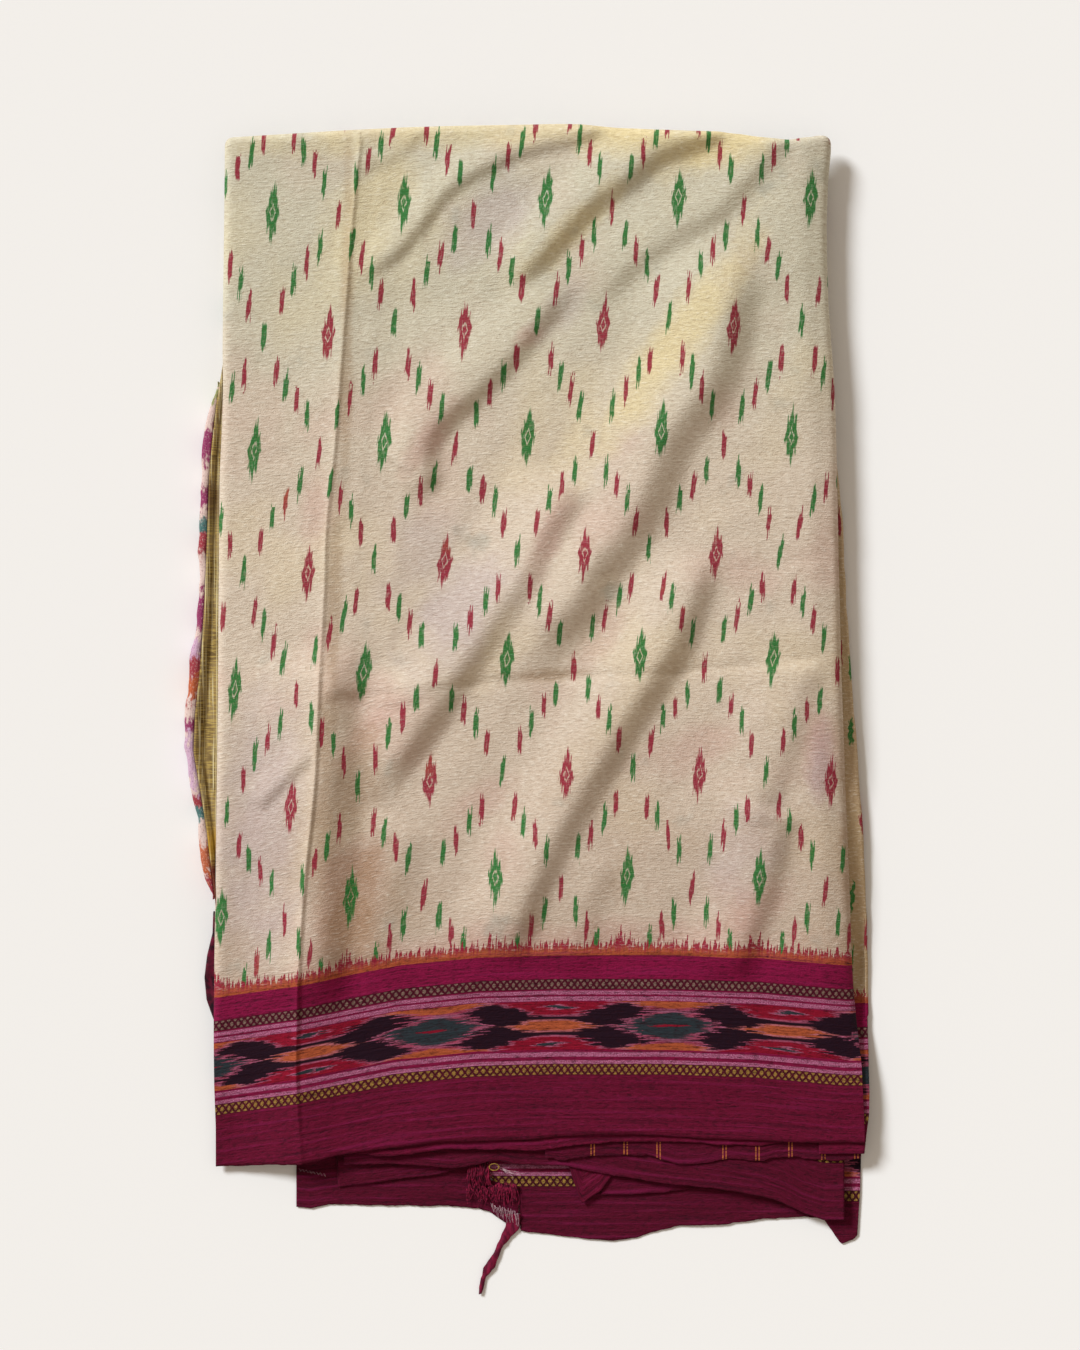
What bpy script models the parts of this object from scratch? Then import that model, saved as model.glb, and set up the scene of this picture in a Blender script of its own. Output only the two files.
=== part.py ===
"""Folded silk sari, lying flat: cream ikat field, maroon border, staggered hems and a curled end piece.

The sari is 5.5 m long and 1.15 m wide. It is folded in half across its width, then halved four times
along its length, which leaves a bundle about 350 mm wide and 575 mm long. X runs along the sari's
length, +Y points from the hems up to the fold at the top, and +Z up from the surface it lies on.
Each stretch of cloth that shows is a thin wall. The hidden layers share one rounded solid.
"""
import math

import bpy
from mathutils import Vector

# ---------------------------------------------------------------- driving dimensions, in millimetres
MM = 0.001
WALL = 1.3                  # cloth wall, which stands for one or two plies of loosely lying silk
GAP = 0.3                   # clearance between two walls that lie on each other
LEVEL = WALL + GAP          # height from one hem layer to the next
HEM_LEVELS = 6              # walls under the front panel at its hem
MID_HEIGHT = 18.7           # underside of the front panel over the middle of the bundle
HEM_HEIGHT = HEM_LEVELS * LEVEL
SLOPE_TOP = -60.0           # the bundle is at full height above this y
SLOPE_END = -212.0          # and at hem height below this y
SIDE_SAG = 1.0              # how much lower the bundle is at its two sides
CORNER_SAG = 7.4            # fall of the front panel's free corner, bottom left

RIM_RUN = 5.0               # how far in from an edge the top cloth starts to turn down
RIM_DROP = 5.0              # how far it turns down
TUCK_RUN = 25.0             # width over which a lower stretch comes out from under the front panel
TUCK_DROP = 4.2             # how far it has come down at the front panel's edge
SLOPE_SLACK = 0.7           # extra clearance under the front panel where the bundle slopes
HIDDEN_EDGE = -208.0        # y of the covered edges of all hem layers
CORE_END = -206.0           # y where the hidden layers end
CORE_LEAST = 2.0            # and the least that they stand above the lowest wall

# Edges of the front panel: (y, x) down its sides, (x, y) along its ends
FRONT_LEFT = [(-255, -175.6), (-208, -177.0), (-160, -176.9), (-95, -175.5), (6, -174.1), (93, -173.5),
              (140, -173.0), (171, -171.1), (210, -171.5), (260, -170.7), (323, -170.1)]
FRONT_RIGHT = [(-244, 191.4), (-197, 189.2), (-168, 185.8), (-139, 184.1), (-67, 181.3), (18, 177.9),
               (90, 176.2), (174, 174.6), (238, 170.0), (287, 169.4), (309, 171.1), (325, 172.8)]
FRONT_TOP = [(-171, 323.5), (-111, 327.1), (-59, 329.7), (33, 331.2), (53, 328.8), (85, 327.1),
             (102, 328.2), (115, 326.4), (137, 322.8), (149, 322.3), (168, 325.7), (173, 325.2)]
FRONT_HEM = [(-176, -258.2), (-152, -257.1), (-132, -254.6), (-127, -256.7), (-112, -251.8),
             (-94, -248.8), (-65, -245.2), (-44, -242.7), (-4, -242.4), (25, -239.4), (47, -238.6),
             (83, -240.0), (118, -242.0), (159, -243.9), (191.4, -243.4)]

# Hems of the staggered layers under it, left to right
SECOND_HEM = [(-97.9, -249.6), (-94.0, -251.3), (-72.5, -251.0), (-54.5, -248.4), (-42.1, -247.0),
              (-21.8, -247.8), (3.0, -248.1), (18.8, -246.7), (32.4, -244.5), (53.8, -243.1),
              (89.9, -243.4), (111.3, -245.1), (132.2, -245.4), (145.7, -243.6)]
STRIPED_HEM = [(10.4, -252.8), (18.3, -253.9), (27.3, -253.5), (36.3, -251.0), (68.5, -251.0),
               (82.6, -255.7), (89.9, -256.7), (104.6, -255.0), (110.2, -252.6), (132.2, -254.6),
               (145.7, -251.5), (155.9, -252.6), (176.2, -255.0), (189.2, -252.6)]
MIDDLE_HEM = [(-103.6, -257.1), (-79.9, -255.8), (-65.2, -256.7), (-36.4, -258.9), (-29.1, -256.7),
              (-18.0, -254.3), (-7.7, -256.7), (23.6, -257.5), (36.3, -260.3), (57.2, -264.0),
              (82.6, -267.6), (109.1, -270.4), (133.3, -274.4), (145.7, -278.3), (158.1, -285.1),
              (166.0, -287.4), (175.6, -289.6), (180.1, -287.9)]
LEFT_CORNER_HEM = [(-107.6, -270.0), (-94.5, -268.6), (-71.4, -265.0), (-51.1, -262.9), (-38.7, -258.9)]
INNER_RIGHT_HEM = [(42.3, -274.4), (61.1, -274.0), (79.2, -272.9), (98.4, -270.0), (104.0, -268.5)]
LOWEST_LEFT_HEM = [(-130.8, -281.4), (-126.7, -282.8), (-119.3, -281.5), (-108.1, -279.5),
                   (-97.9, -280.0), (-71.4, -280.6), (-41.5, -280.9), (-25.7, -282.5),
                   (-21.2, -284.0), (-14.1, -287.7), (-10.9, -291.2), (-4.3, -291.5)]
LOWEST_RIGHT_HEM = [(-3.9, -294.7), (17.7, -297.7), (32.4, -299.2), (43.7, -300.3), (53.2, -301.1),
                    (68.5, -296.7), (76.9, -294.1), (87.6, -291.9), (111.3, -291.5), (130.5, -289.0),
                    (141.2, -287.4), (158.1, -287.0), (168.0, -287.9)]
# The tear between the two halves of the lowest stretch: (y, x)
TEAR = [(-295, -3.9), (-272, -3.9), (-266, -20.0), (-250, -23.0), (-208, -24.0)]
RIGHT_LOWER_HEM = [(168.6, -288.2), (173.7, -295.3), (178.4, -302.3), (181.5, -301.1),
                   (185.8, -299.8), (188.6, -296.7)]

# The stretch that stands out at the right: (y, x) of its outer fold
UNDER_FOLD_EDGE = [(-250.5, 190.8), (-242, 193.0), (-208, 193.5), (-154, 193.2), (-111, 192.9),
                   (-75, 190.9), (-38, 188.6), (-11, 186.3), (18, 184.1), (61, 181.3), (119, 178.4),
                   (150, 174.3)]

# The end piece that stands out at the left: (y, x) of its curled edge and of the curl's inner foot
CURL_EDGE = [(-112, -177.6), (-105, -178.8), (-89, -182.7), (-64, -184.5), (-48, -189.6), (-23, -193.5),
             (-8, -193.2), (29, -189.8), (61, -185.9), (111, -184.9), (145, -182.9), (160, -181.2),
             (177, -179.3), (189, -175.4), (198, -172.6)]
CURL_FOOT = [(-112, -174.5), (-67, -180.0), (-40, -184.2), (-22, -187.6), (0, -186.4), (28, -183.2),
             (61, -181.2), (93, -179.9), (132, -178.6), (158, -176.4), (180, -173.6), (198, -170.5)]
CURL_ENDS = (-103.0, 184.0)
DARK_FOLD_EDGE = [(-176, -176.8), (-164, -181.4), (-150, -182.7), (-137, -180.9), (-129, -178.0),
                  (-113, -177.4)]

# Middle line and width of the torn, hanging strip, top to tip: (x, y, width)
TAIL = [(-8.0, -292.6, 6.0), (-9.9, -296.0, 5.6), (-12.5, -300.0, 4.6), (-15.6, -304.8, 4.6),
        (-19.0, -310.4, 6.0), (-22.3, -316.1, 3.8), (-25.2, -322.9, 2.4), (-26.6, -331.2, 1.2)]

# Main ridges of the front panel: (points, height, half width)
CREASE = [(-94, 320), (-98, 277), (-105, 190), (-114, 92), (-117, 0), (-121, -57), (-128, -149),
          (-130, -210), (-127, -256)]
RIDGES = [
    (CREASE, 2.0, 8.0),
    ([(95, 330), (55, 308), (15, 278), (-20, 240), (-45, 190), (-75, 140)], 3.0, 13.0),
    ([(130, 240), (105, 190), (70, 130), (40, 80), (-5, 35), (-60, 10)], 3.4, 15.0),
    ([(80, 50), (58, 0), (30, -50), (5, -95), (-20, -130)], 3.2, 14.0),
    ([(30, 330), (-25, 313), (-60, 285), (-98, 243)], 2.2, 10.0),
]


# ---------------------------------------------------------------- small helpers
def blend(low, high, value):
    """Smooth step from 0 at low to 1 at high."""
    share = min(max((value - low) / (high - low), 0.0), 1.0)
    return share * share * (3.0 - 2.0 * share)


def along(pairs, value):
    """Second value of a list of pairs, read at a first value and straight between them."""
    if value <= pairs[0][0]:
        return pairs[0][1]
    for (a, fa), (b, fb) in zip(pairs, pairs[1:]):
        if value <= b:
            return fa + (fb - fa) * (value - a) / (b - a)
    return pairs[-1][1]


def distance_to_line(x, y, line):
    """Shortest distance from a point to a line of points."""
    best = 1e9
    for (ax, ay), (bx, by) in zip(line, line[1:]):
        dx, dy = bx - ax, by - ay
        share = min(max(((x - ax) * dx + (y - ay) * dy) / (dx * dx + dy * dy), 0.0), 1.0)
        best = min(best, math.hypot(x - ax - dx * share, y - ay - dy * share))
    return best


def resample(points, count):
    """Points at equal shares of a line's length."""
    lengths = [0.0]
    for p, q in zip(points, points[1:]):
        lengths.append(lengths[-1] + math.dist(p, q))
    rows = [list(zip(lengths, axis)) for axis in zip(*points)]
    return [tuple(along(row, lengths[-1] * i / (count - 1)) for row in rows) for i in range(count)]


# ---------------------------------------------------------------- height of the bundle
def rest_height(x, y):
    """Underside of the front panel, before its edges turn down."""
    height = HEM_HEIGHT + (MID_HEIGHT - HEM_HEIGHT) * blend(SLOPE_END, SLOPE_TOP, y)
    height -= SIDE_SAG * (abs(x) / 180.0) ** 4 * blend(SLOPE_END, -150.0, y)
    corner = (1.0 - blend(-164.0, -128.0, x)) * (1.0 - blend(-238.0, -165.0, y))
    return height - CORNER_SAG * corner


def relief(x, y):
    """Ridges pressed or blown into the front panel."""
    height = 0.0
    for line, top, half_width in RIDGES:
        height = max(height, top * math.exp(-(distance_to_line(x, y, line) / half_width) ** 2))
    return height


def free_share(y):
    """1 where the sides can turn down, 0 over the hem layers."""
    return blend(-204.0, -160.0, y)


def tuck_height(y, inside):
    """Top face of a stretch that comes out from under the front panel.

    inside is the distance in from the front panel's edge, below zero outside it.
    """
    share = max(1.0 - inside / TUCK_RUN, 0.0)
    slack = SLOPE_SLACK * blend(-200.0, -180.0, y)
    return -GAP - slack - TUCK_DROP * free_share(y) * share ** 1.5


# ---------------------------------------------------------------- mesh making
def make_object(name, points, faces, colour, roughness=0.75):
    """Mesh object from points in millimetres, with its own material."""
    mesh = bpy.data.meshes.new(name)
    mesh.from_pydata([Vector(p) * MM for p in points], [], faces)
    mesh.validate()
    obj = bpy.data.objects.new(name, mesh)
    bpy.context.scene.collection.objects.link(obj)
    material = bpy.data.materials.new(name + "_cloth")
    material.use_nodes = True
    shader = material.node_tree.nodes["Principled BSDF"]
    shader.inputs["Base Color"].default_value = (*colour, 1.0)
    shader.inputs["Roughness"].default_value = roughness
    shader.inputs["Metallic"].default_value = 0.0
    mesh.materials.append(material)
    mesh.shade_smooth()
    mesh.set_sharp_from_angle(angle=math.radians(50.0))
    return obj


def make_cloth(name, rows, colour, wall=WALL):
    """Cloth wall whose top face runs through rows of points, all of equal length."""
    columns = len(rows[0])
    points = [p for row in rows for p in row]
    faces = []
    for r in range(len(rows) - 1):
        for c in range(columns - 1):
            a = r * columns + c
            faces.append((a, a + 1, a + columns + 1, a + columns))
    obj = make_object(name, points, faces, colour)
    solid = obj.modifiers.new("Wall", "SOLIDIFY")
    solid.thickness = wall * MM
    solid.offset = -1.0
    solid.use_even_offset = True
    return obj


def hem_layer(name, level, hem, inner, columns, rows, colour):
    """Flat layer between its hem and its covered edge, at a level counted from the surface."""
    top = level * LEVEL + WALL
    low = resample(hem, columns) if columns else hem
    high = resample(inner, len(low))
    grid = []
    for r in range(rows):
        share = r / (rows - 1)
        grid.append([(a[0] + (b[0] - a[0]) * share, a[1] + (b[1] - a[1]) * share, top)
                     for a, b in zip(low, high)])
    return make_cloth(name, grid, colour)


def torn_layer(name, hem, side, columns, colour):
    """Lowest stretch on one side of the tear, -1 left and 1 right, flat on the surface."""
    grid = []
    for row_y in (None, -272.0, -266.0, -250.0, -229.0, HIDDEN_EDGE - GAP):
        row = []
        for c in range(columns):
            share = c / (columns - 1)
            x, y = resample(hem, columns)[c]
            if row_y is not None:
                y = row_y
                tear = along(TEAR, y)
                left, right = (hem[0][0], tear - 0.4) if side < 0 else (tear, hem[-1][0])
                x = left + (right - left) * share
            row.append((x, y, WALL))
        grid.append(row)
    return make_cloth(name, grid, colour)


def covered_edge(left, right):
    """Straight covered edge of a hem layer."""
    return [(left, HIDDEN_EDGE), (right, HIDDEN_EDGE)]


def rim_steps(inner_count):
    """Places across a sheet with turned-down edges: (side, cosine of the turn, share of the inside)."""
    turns = [math.cos(math.radians(a)) for a in (0.0, 35.0, 62.0)]
    steps = [(-1, turn, 0.0) for turn in turns]
    steps += [(0, 0.0, i / (inner_count - 1)) for i in range(inner_count)]
    return steps + [(1, turn, 1.0) for turn in reversed(turns)]


# ---------------------------------------------------------------- the pieces
def front_panel():
    """Top stretch of the sari, from its hem over the bundle, turned down at the sides and the top."""
    across = rim_steps(18)
    up = [(0, 0.0, i / 25.0) for i in range(26)] + [s for s in rim_steps(2)[5:]]
    grid = []
    for _, turn_y, share_y in up:
        row = []
        for side, turn_x, share_x in across:
            longest = max(turn_x, turn_y)
            bend = math.hypot(turn_x, turn_y) / longest if longest else 1.0
            in_x = RIM_RUN * (1.0 - turn_x / bend)
            in_y = RIM_RUN * (1.0 - turn_y / bend)
            x = -172.0 + 350.0 * share_x
            y = 0.0
            for _ in range(3):
                top = along(FRONT_TOP, x)
                y = along(FRONT_HEM, x) * (1.0 - share_y) + (top - RIM_RUN) * share_y
                if share_y == 1.0:
                    y = top - in_y
                left = along(FRONT_LEFT, y)
                right = along(FRONT_RIGHT, y)
                x = left + RIM_RUN + (right - left - 2.0 * RIM_RUN) * share_x
                if side:
                    x = left + in_x if side < 0 else right - in_x
            turn = max(turn_x * math.sqrt(side_freedom(side, y)), turn_y)
            drop = RIM_DROP * (1.0 - math.sqrt(1.0 - turn * turn))
            row.append((x, y, rest_height(x, y) + WALL + relief(x, y) * (1.0 - turn) - drop))
        grid.append(row)
    return make_cloth("front_panel", grid, (0.72, 0.60, 0.40))


def side_freedom(side, y):
    """How far a side edge of the front panel can turn down: not over the hem layers."""
    return free_share(y) if side else 0.0


def back_panel():
    """Lowest stretch, flat on the surface."""
    grid = []
    for r in range(13):
        row = []
        for c in range(10):
            share = c / 9.0
            x = -170.0 + 340.0 * share
            y = HIDDEN_EDGE + (along(FRONT_TOP, x) - 1.5 - HIDDEN_EDGE) * r / 12.0
            left = along(FRONT_LEFT, y) + 1.5
            right = along(FRONT_RIGHT, y) - 1.5
            round_off = 4.0 if r == 12 else 0.0
            row.append((left + round_off + (right - left - 2.0 * round_off) * share, y, WALL))
        grid.append(row)
    return make_cloth("back_panel", grid, (0.68, 0.58, 0.40))


def core_outline(count, inset):
    """Outline of the hidden layers, inside the front panel's own, with rounded corners."""
    points = []
    for i in range(count):
        angle = 2.0 * math.pi * i / count
        ca, sa = math.cos(angle), math.sin(angle)
        power = 0.18
        sx = math.copysign(abs(ca) ** power, ca)
        sy = math.copysign(abs(sa) ** power, sa)
        y_mid = 0.5 * (CORE_END + 328.0)
        x, y = 172.0 * sx, y_mid
        for _ in range(3):
            top = along(FRONT_TOP, x) - inset
            low = CORE_END
            y = 0.5 * (top + low) + 0.5 * (top - low) * sy
            left = along(FRONT_LEFT, y) + inset
            right = along(FRONT_RIGHT, y) - inset
            x = 0.5 * (left + right) + 0.5 * (right - left) * sx
        points.append((x, y))
    return points


def core_top(x, y, inset):
    """Top of the hidden layers: under the front panel, and under what is tucked in at the sides."""
    left_in = x - along(FRONT_LEFT, y)
    right_in = along(FRONT_RIGHT, y) - x
    height = rest_height(x, y) - GAP
    for inside in (left_in, right_in):
        if inside < TUCK_RUN + 12.0:
            height = min(height, rest_height(x, y) + tuck_height(y, inside) - WALL - GAP)
    return height - SLOPE_SLACK - max(6.0 - inset, 0.0) * 0.8


def folded_core():
    """Hidden layers as one rounded solid, with the lips of the folded layers round its edge."""
    count = 48
    bottom = LEVEL
    lips = 4
    rings = [(4.2, 0.0)]
    for lip in range(lips):
        for share, inset in ((0.1, 3.0), (0.5, 2.3), (0.92, 4.2)):
            rings.append((inset, (lip + share) / lips))
    points = []
    for inset, share in rings:
        for x, y in core_outline(count, inset):
            height = max(core_top(x, y, 2.3) - 0.4 - bottom, CORE_LEAST)
            points.append((x, y, bottom + height * share))
    for inset in (6.5, 14.0, 24.0, 37.0, 60.0, 90.0, 125.0, 155.0):
        shrink = min(inset / 165.0, 1.0)
        for x, y in core_outline(count, min(inset, 37.0)):
            if inset > 37.0:
                x *= 1.0 - shrink
                y = 60.0 + (y - 60.0) * (1.0 - shrink)
            points.append((x, y, max(core_top(x, y, 6.0), bottom + CORE_LEAST)))
    ring_count = len(points) // count
    faces = [tuple(reversed(range(count)))]
    for r in range(ring_count - 1):
        for i in range(count):
            j = (i + 1) % count
            faces.append((r * count + i, r * count + j, (r + 1) * count + j, (r + 1) * count + i))
    last = (ring_count - 1) * count
    points.append((0.0, 60.0, core_top(0.0, 60.0, 6.0)))
    faces += [(last + i, last + (i + 1) % count, len(points) - 1) for i in range(count)]
    return make_object("folded_core", points, faces, (0.62, 0.52, 0.36))


def tucked_rows(edge_pairs, hidden_in, y_low, y_high, rows, side, foot):
    """Rows of a stretch from its covered edge out to its rounded outer fold."""
    grid = []
    front_edge = FRONT_RIGHT if side > 0 else FRONT_LEFT
    for r in range(rows):
        y = y_low + (y_high - y_low) * r / (rows - 1)
        edge = along(edge_pairs, y)
        front = along(front_edge, y)
        start = front - side * hidden_in
        round_run = 3.0
        row = []
        for i in range(6):
            x = start + (edge - side * round_run - start) * i / 5.0
            row.append((x, y, rest_height(x, y) + tuck_height(y, side * (front - x))))
        last = row[-1][2]
        low = last + (foot - last) * free_share(y)
        for angle in (30.0, 60.0, 90.0):
            a = math.radians(angle)
            x = edge - side * round_run * (1.0 - math.sin(a))
            row.append((x, y, last - (last - low) * 0.4 * (1.0 - math.cos(a))))
        row.append((edge + side * 0.3 * (1.0 - free_share(y)), y, low))
        grid.append(row if side > 0 else row[::-1])
    return grid


def right_under_fold():
    """Stretch whose outer fold stands out at the right of the front panel."""
    rows = tucked_rows(UNDER_FOLD_EDGE, 26.0, -250.5, 150.0, 19, 1.0, 2.0)
    return make_cloth("right_under_fold", rows, (0.60, 0.50, 0.36))


def pallu_reverse():
    """End piece seen from its loosely woven back, tucked in at the left."""
    edge = [(y, x + 1.4) for y, x in CURL_FOOT]
    grid = []
    for r in range(15):
        y = -111.0 + 307.0 * r / 14.0
        front = along(FRONT_LEFT, y)
        outer = along(edge, y)
        row = []
        for i in range(6):
            x = outer + (front + 26.0 - outer) * i / 5.0
            row.append((x, y, rest_height(x, y) + tuck_height(y, x - front)))
        grid.append(row)
    return make_cloth("pallu_reverse", grid, (0.45, 0.33, 0.08))


def pallu_curl():
    """Curled edge of the end piece: an arch over its own margin, and down to the surface."""
    grid = []
    for r in range(15):
        y = CURL_ENDS[0] + (CURL_ENDS[1] - CURL_ENDS[0]) * r / 14.0
        front = along(FRONT_LEFT, y)
        foot = min(along(CURL_FOOT, y), front - 0.6)
        edge = along(CURL_EDGE, y)
        middle = 0.5 * (foot + edge)
        half = 0.5 * (foot - edge)
        base = rest_height(foot, y) + tuck_height(y, foot - front) + LEVEL + 0.25
        row = [(edge + 0.4, y, 1.8), (edge + 0.1, y, 1.8 + (base - 1.8) * 0.6)]
        for angle in (180.0, 145.0, 110.0, 75.0, 40.0, 10.0):
            a = math.radians(angle)
            row.append((middle + half * math.cos(a), y, base - 1.0 + (1.0 + 1.0 * half / 3.0) * math.sin(a)))
        grid.append(row)
    return make_cloth("pallu_curl", grid, (0.62, 0.36, 0.36), wall=1.0)


def pallu_dark_fold():
    """Dark border of the end piece, bulging out below the curl."""
    rows = tucked_rows(DARK_FOLD_EDGE, 24.0, -176.0, -113.0, 6, -1.0, 2.0)
    return make_cloth("pallu_dark_fold", rows, (0.16, 0.02, 0.04))


def frayed_tuft():
    """Tuft of broken threads, crumpled up beside the tear."""
    across, down = 12, 8
    points = []
    for r in range(1, down):
        polar = math.pi * r / down
        for i in range(across):
            angle = 2.0 * math.pi * i / across
            swell = 1.0 + 0.16 * math.sin(3.0 * angle + 2.0 * polar)
            x = 5.4 * math.sin(polar) * math.cos(angle) * swell
            z = 1.25 * math.sin(polar) * math.sin(angle) * (1.0 - 0.1 * math.cos(5.0 * angle))
            points.append((-26.8 + x + 1.5 * math.cos(polar), -263.4 + 9.2 * math.cos(polar), 3.15 + z))
    faces = []
    for r in range(down - 2):
        for i in range(across):
            j = (i + 1) % across
            faces.append((r * across + i, r * across + j, (r + 1) * across + j, (r + 1) * across + i))
    top, low = len(points), len(points) + 1
    points += [(-25.2, -254.6, 3.15), (-28.4, -272.4, 3.15)]
    last = (down - 2) * across
    faces += [((i + 1) % across, i, top) for i in range(across)]
    faces += [(last + i, last + (i + 1) % across, low) for i in range(across)]
    return make_object("frayed_tuft", points, faces, (0.30, 0.03, 0.07))


def frayed_tail():
    """Torn strip of border that trails from the hem."""
    grid = []
    for x, y, width in TAIL:
        grid.append([(x + width * (c / 2.0 - 0.5), y - 0.25 * width * (c / 2.0 - 0.5), WALL)
                     for c in range(3)])
    return make_cloth("frayed_tail", grid[::-1], (0.32, 0.04, 0.10))


def hem_layers():
    """Hems that step out below the front panel, from the lowest one up."""
    maroon = (0.17, 0.012, 0.045)
    lower_right = [(168.6, HIDDEN_EDGE - GAP), (190.4, HIDDEN_EDGE - GAP)]
    torn_layer("lowest_left_layer", LOWEST_LEFT_HEM, -1, 16, maroon)
    torn_layer("lowest_right_layer", LOWEST_RIGHT_HEM, 1, 18, maroon)
    hem_layer("right_lower_fold", 0, RIGHT_LOWER_HEM, lower_right, 0, 6, maroon)
    hem_layer("left_corner_layer", 1, LEFT_CORNER_HEM, covered_edge(-109.5, -38.7), 9, 5, maroon)
    hem_layer("inner_right_layer", 1, INNER_RIGHT_HEM, covered_edge(42.3, 104.0), 8, 5, maroon)
    hem_layer("turned_corner", 2, [(31.0, -278.9), (32.2, -278.7), (42.3, -271.1), (48.1, -263.2)],
              [(20.0, -246.0), (52.0, -246.0)], 0, 5, maroon)
    hem_layer("middle_layer", 3, MIDDLE_HEM, covered_edge(-103.6, 180.1), 24, 5, maroon)
    hem_layer("gold_striped_layer", 4, STRIPED_HEM, covered_edge(10.4, 188.6), 20, 4, maroon)
    hem_layer("second_layer", 5, SECOND_HEM, covered_edge(-97.9, 145.7), 20, 4, maroon)


def main():
    for old in list(bpy.data.objects):
        bpy.data.objects.remove(old, do_unlink=True)
    front_panel()
    back_panel()
    folded_core()
    right_under_fold()
    pallu_reverse()
    pallu_curl()
    pallu_dark_fold()
    hem_layers()
    frayed_tuft()
    frayed_tail()


main()
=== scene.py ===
"""Folded silk sari, laid flat: an ikat field on raw silk, a wide woven border and a curled end piece.

Every piece is laid on the form of its own part of the frame. Shapes are worked out in millimetres and
turned into metres where a mesh is made. The weave's pattern is drawn in cloth coordinates: u runs
along the sari's length, and v up from the hem.
"""
import math

import bpy
import numpy as np
from bpy.props import FloatProperty, FloatVectorProperty, PointerProperty
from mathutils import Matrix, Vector
from mathutils.bvhtree import BVHTree


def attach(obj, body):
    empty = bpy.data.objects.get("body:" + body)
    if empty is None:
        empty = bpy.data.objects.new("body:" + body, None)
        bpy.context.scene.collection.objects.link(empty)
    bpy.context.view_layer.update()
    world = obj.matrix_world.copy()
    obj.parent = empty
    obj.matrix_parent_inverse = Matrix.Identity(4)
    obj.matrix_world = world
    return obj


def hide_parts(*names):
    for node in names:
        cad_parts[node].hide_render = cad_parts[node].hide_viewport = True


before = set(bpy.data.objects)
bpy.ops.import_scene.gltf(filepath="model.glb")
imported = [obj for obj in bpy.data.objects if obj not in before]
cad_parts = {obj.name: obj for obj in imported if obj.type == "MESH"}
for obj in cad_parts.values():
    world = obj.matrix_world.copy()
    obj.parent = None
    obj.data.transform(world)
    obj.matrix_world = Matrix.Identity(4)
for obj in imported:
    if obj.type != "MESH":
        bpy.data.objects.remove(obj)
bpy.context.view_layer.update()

bl_info = {
    "name": "Folded Silk Sari",
    "version": (1, 0, 0),
    "blender": (4, 5, 0),
    "location": "View3D > Sidebar > Sari",
    "description": "Lays the visible stretches of a folded ikat silk sari over its frame",
    "category": "Add Mesh",
}

MM = 0.001
UV_NAME = "Cloth"


def colour(red, green, blue):
    """Linear colour from the 0 to 255 values of a colour chart."""
    steps = [value / 255.0 for value in (red, green, blue)]
    return tuple(s / 12.92 if s <= 0.04045 else ((s + 0.055) / 1.055) ** 2.4 for s in steps)


# ---------------------------------------------------------------- sizes and colours a user would change
class SariSizes(bpy.types.PropertyGroup):
    """Sizes of the weave's repeat and of the folds, in metres."""

    repeat_across: FloatProperty(
        name="Repeat Across", description="Distance between two motif columns",
        default=0.0755, min=0.01, unit="LENGTH")
    repeat_up: FloatProperty(
        name="Repeat Up", description="Distance between two rows of one colour",
        default=0.1285, min=0.01, unit="LENGTH")
    band_repeat: FloatProperty(
        name="Band Repeat", description="Repeat of the border's ikat band",
        default=0.1327, min=0.01, unit="LENGTH")
    silk_thickness: FloatProperty(
        name="Silk Thickness", description="Thickness of the thin shells",
        default=0.0006, min=0.0001, unit="LENGTH")
    fold_height: FloatProperty(
        name="Fold Height", description="Height of the tallest soft fold",
        default=0.0072, min=0.0, unit="LENGTH")
    crease_height: FloatProperty(
        name="Crease Height", description="Height of the pressed crease",
        default=0.0030, min=0.0, unit="LENGTH")


def colour_property(label, text, value):
    """Colour setting with its default."""
    return FloatVectorProperty(name=label, description=text, subtype="COLOR", size=3,
                               min=0.0, max=1.0, default=value)


class SariColours(bpy.types.PropertyGroup):
    """Dyes and threads."""

    cream: colour_property("Cream", "Raw silk ground", colour(219, 203, 184))
    straw: colour_property("Straw", "Yellower raw silk", colour(228, 210, 160))
    mauve: colour_property("Mauve", "Run dye on the ground", colour(206, 168, 156))
    green: colour_property("Green", "Green motifs", colour(10, 112, 44))
    crimson: colour_property("Crimson", "Crimson motifs", colour(146, 16, 52))
    orange: colour_property("Orange", "Orange dye", colour(174, 84, 50))
    magenta: colour_property("Magenta", "Magenta band", colour(134, 14, 64))
    maroon: colour_property("Maroon", "Plain border", colour(102, 8, 43))
    pink: colour_property("Pink", "Pink border lines", colour(196, 124, 160))
    black: colour_property("Black", "Aubergine ikat", colour(30, 8, 24))
    slate: colour_property("Slate", "Grey green ikat", colour(42, 52, 58))
    red: colour_property("Red", "Red ikat ground", colour(138, 12, 40))
    gold: colour_property("Gold", "Gold thread", colour(176, 140, 62))
    dull_gold: colour_property("Dull Gold", "Greyed gold thread", colour(150, 128, 112))


def sizes():
    return bpy.context.scene.sari_sizes


def dyes():
    return bpy.context.scene.sari_colours


# ---------------------------------------------------------------- numbers: smooth steps, noise, lines
def smooth(low, high, value):
    share = np.clip((value - low) / (high - low), 0.0, 1.0)
    return share * share * (3.0 - 2.0 * share)


def read(pairs, value):
    """Value of a list of pairs at given places, straight between its points."""
    table = np.array(pairs, float)
    return np.interp(value, table[:, 0], table[:, 1])


def lattice(ix, iy, seed):
    """Repeatable random number from 0 to 1 for whole-number places."""
    n = np.sin(ix * 127.1 + iy * 311.7 + seed * 74.7) * 43758.5453
    return n - np.floor(n)


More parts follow.
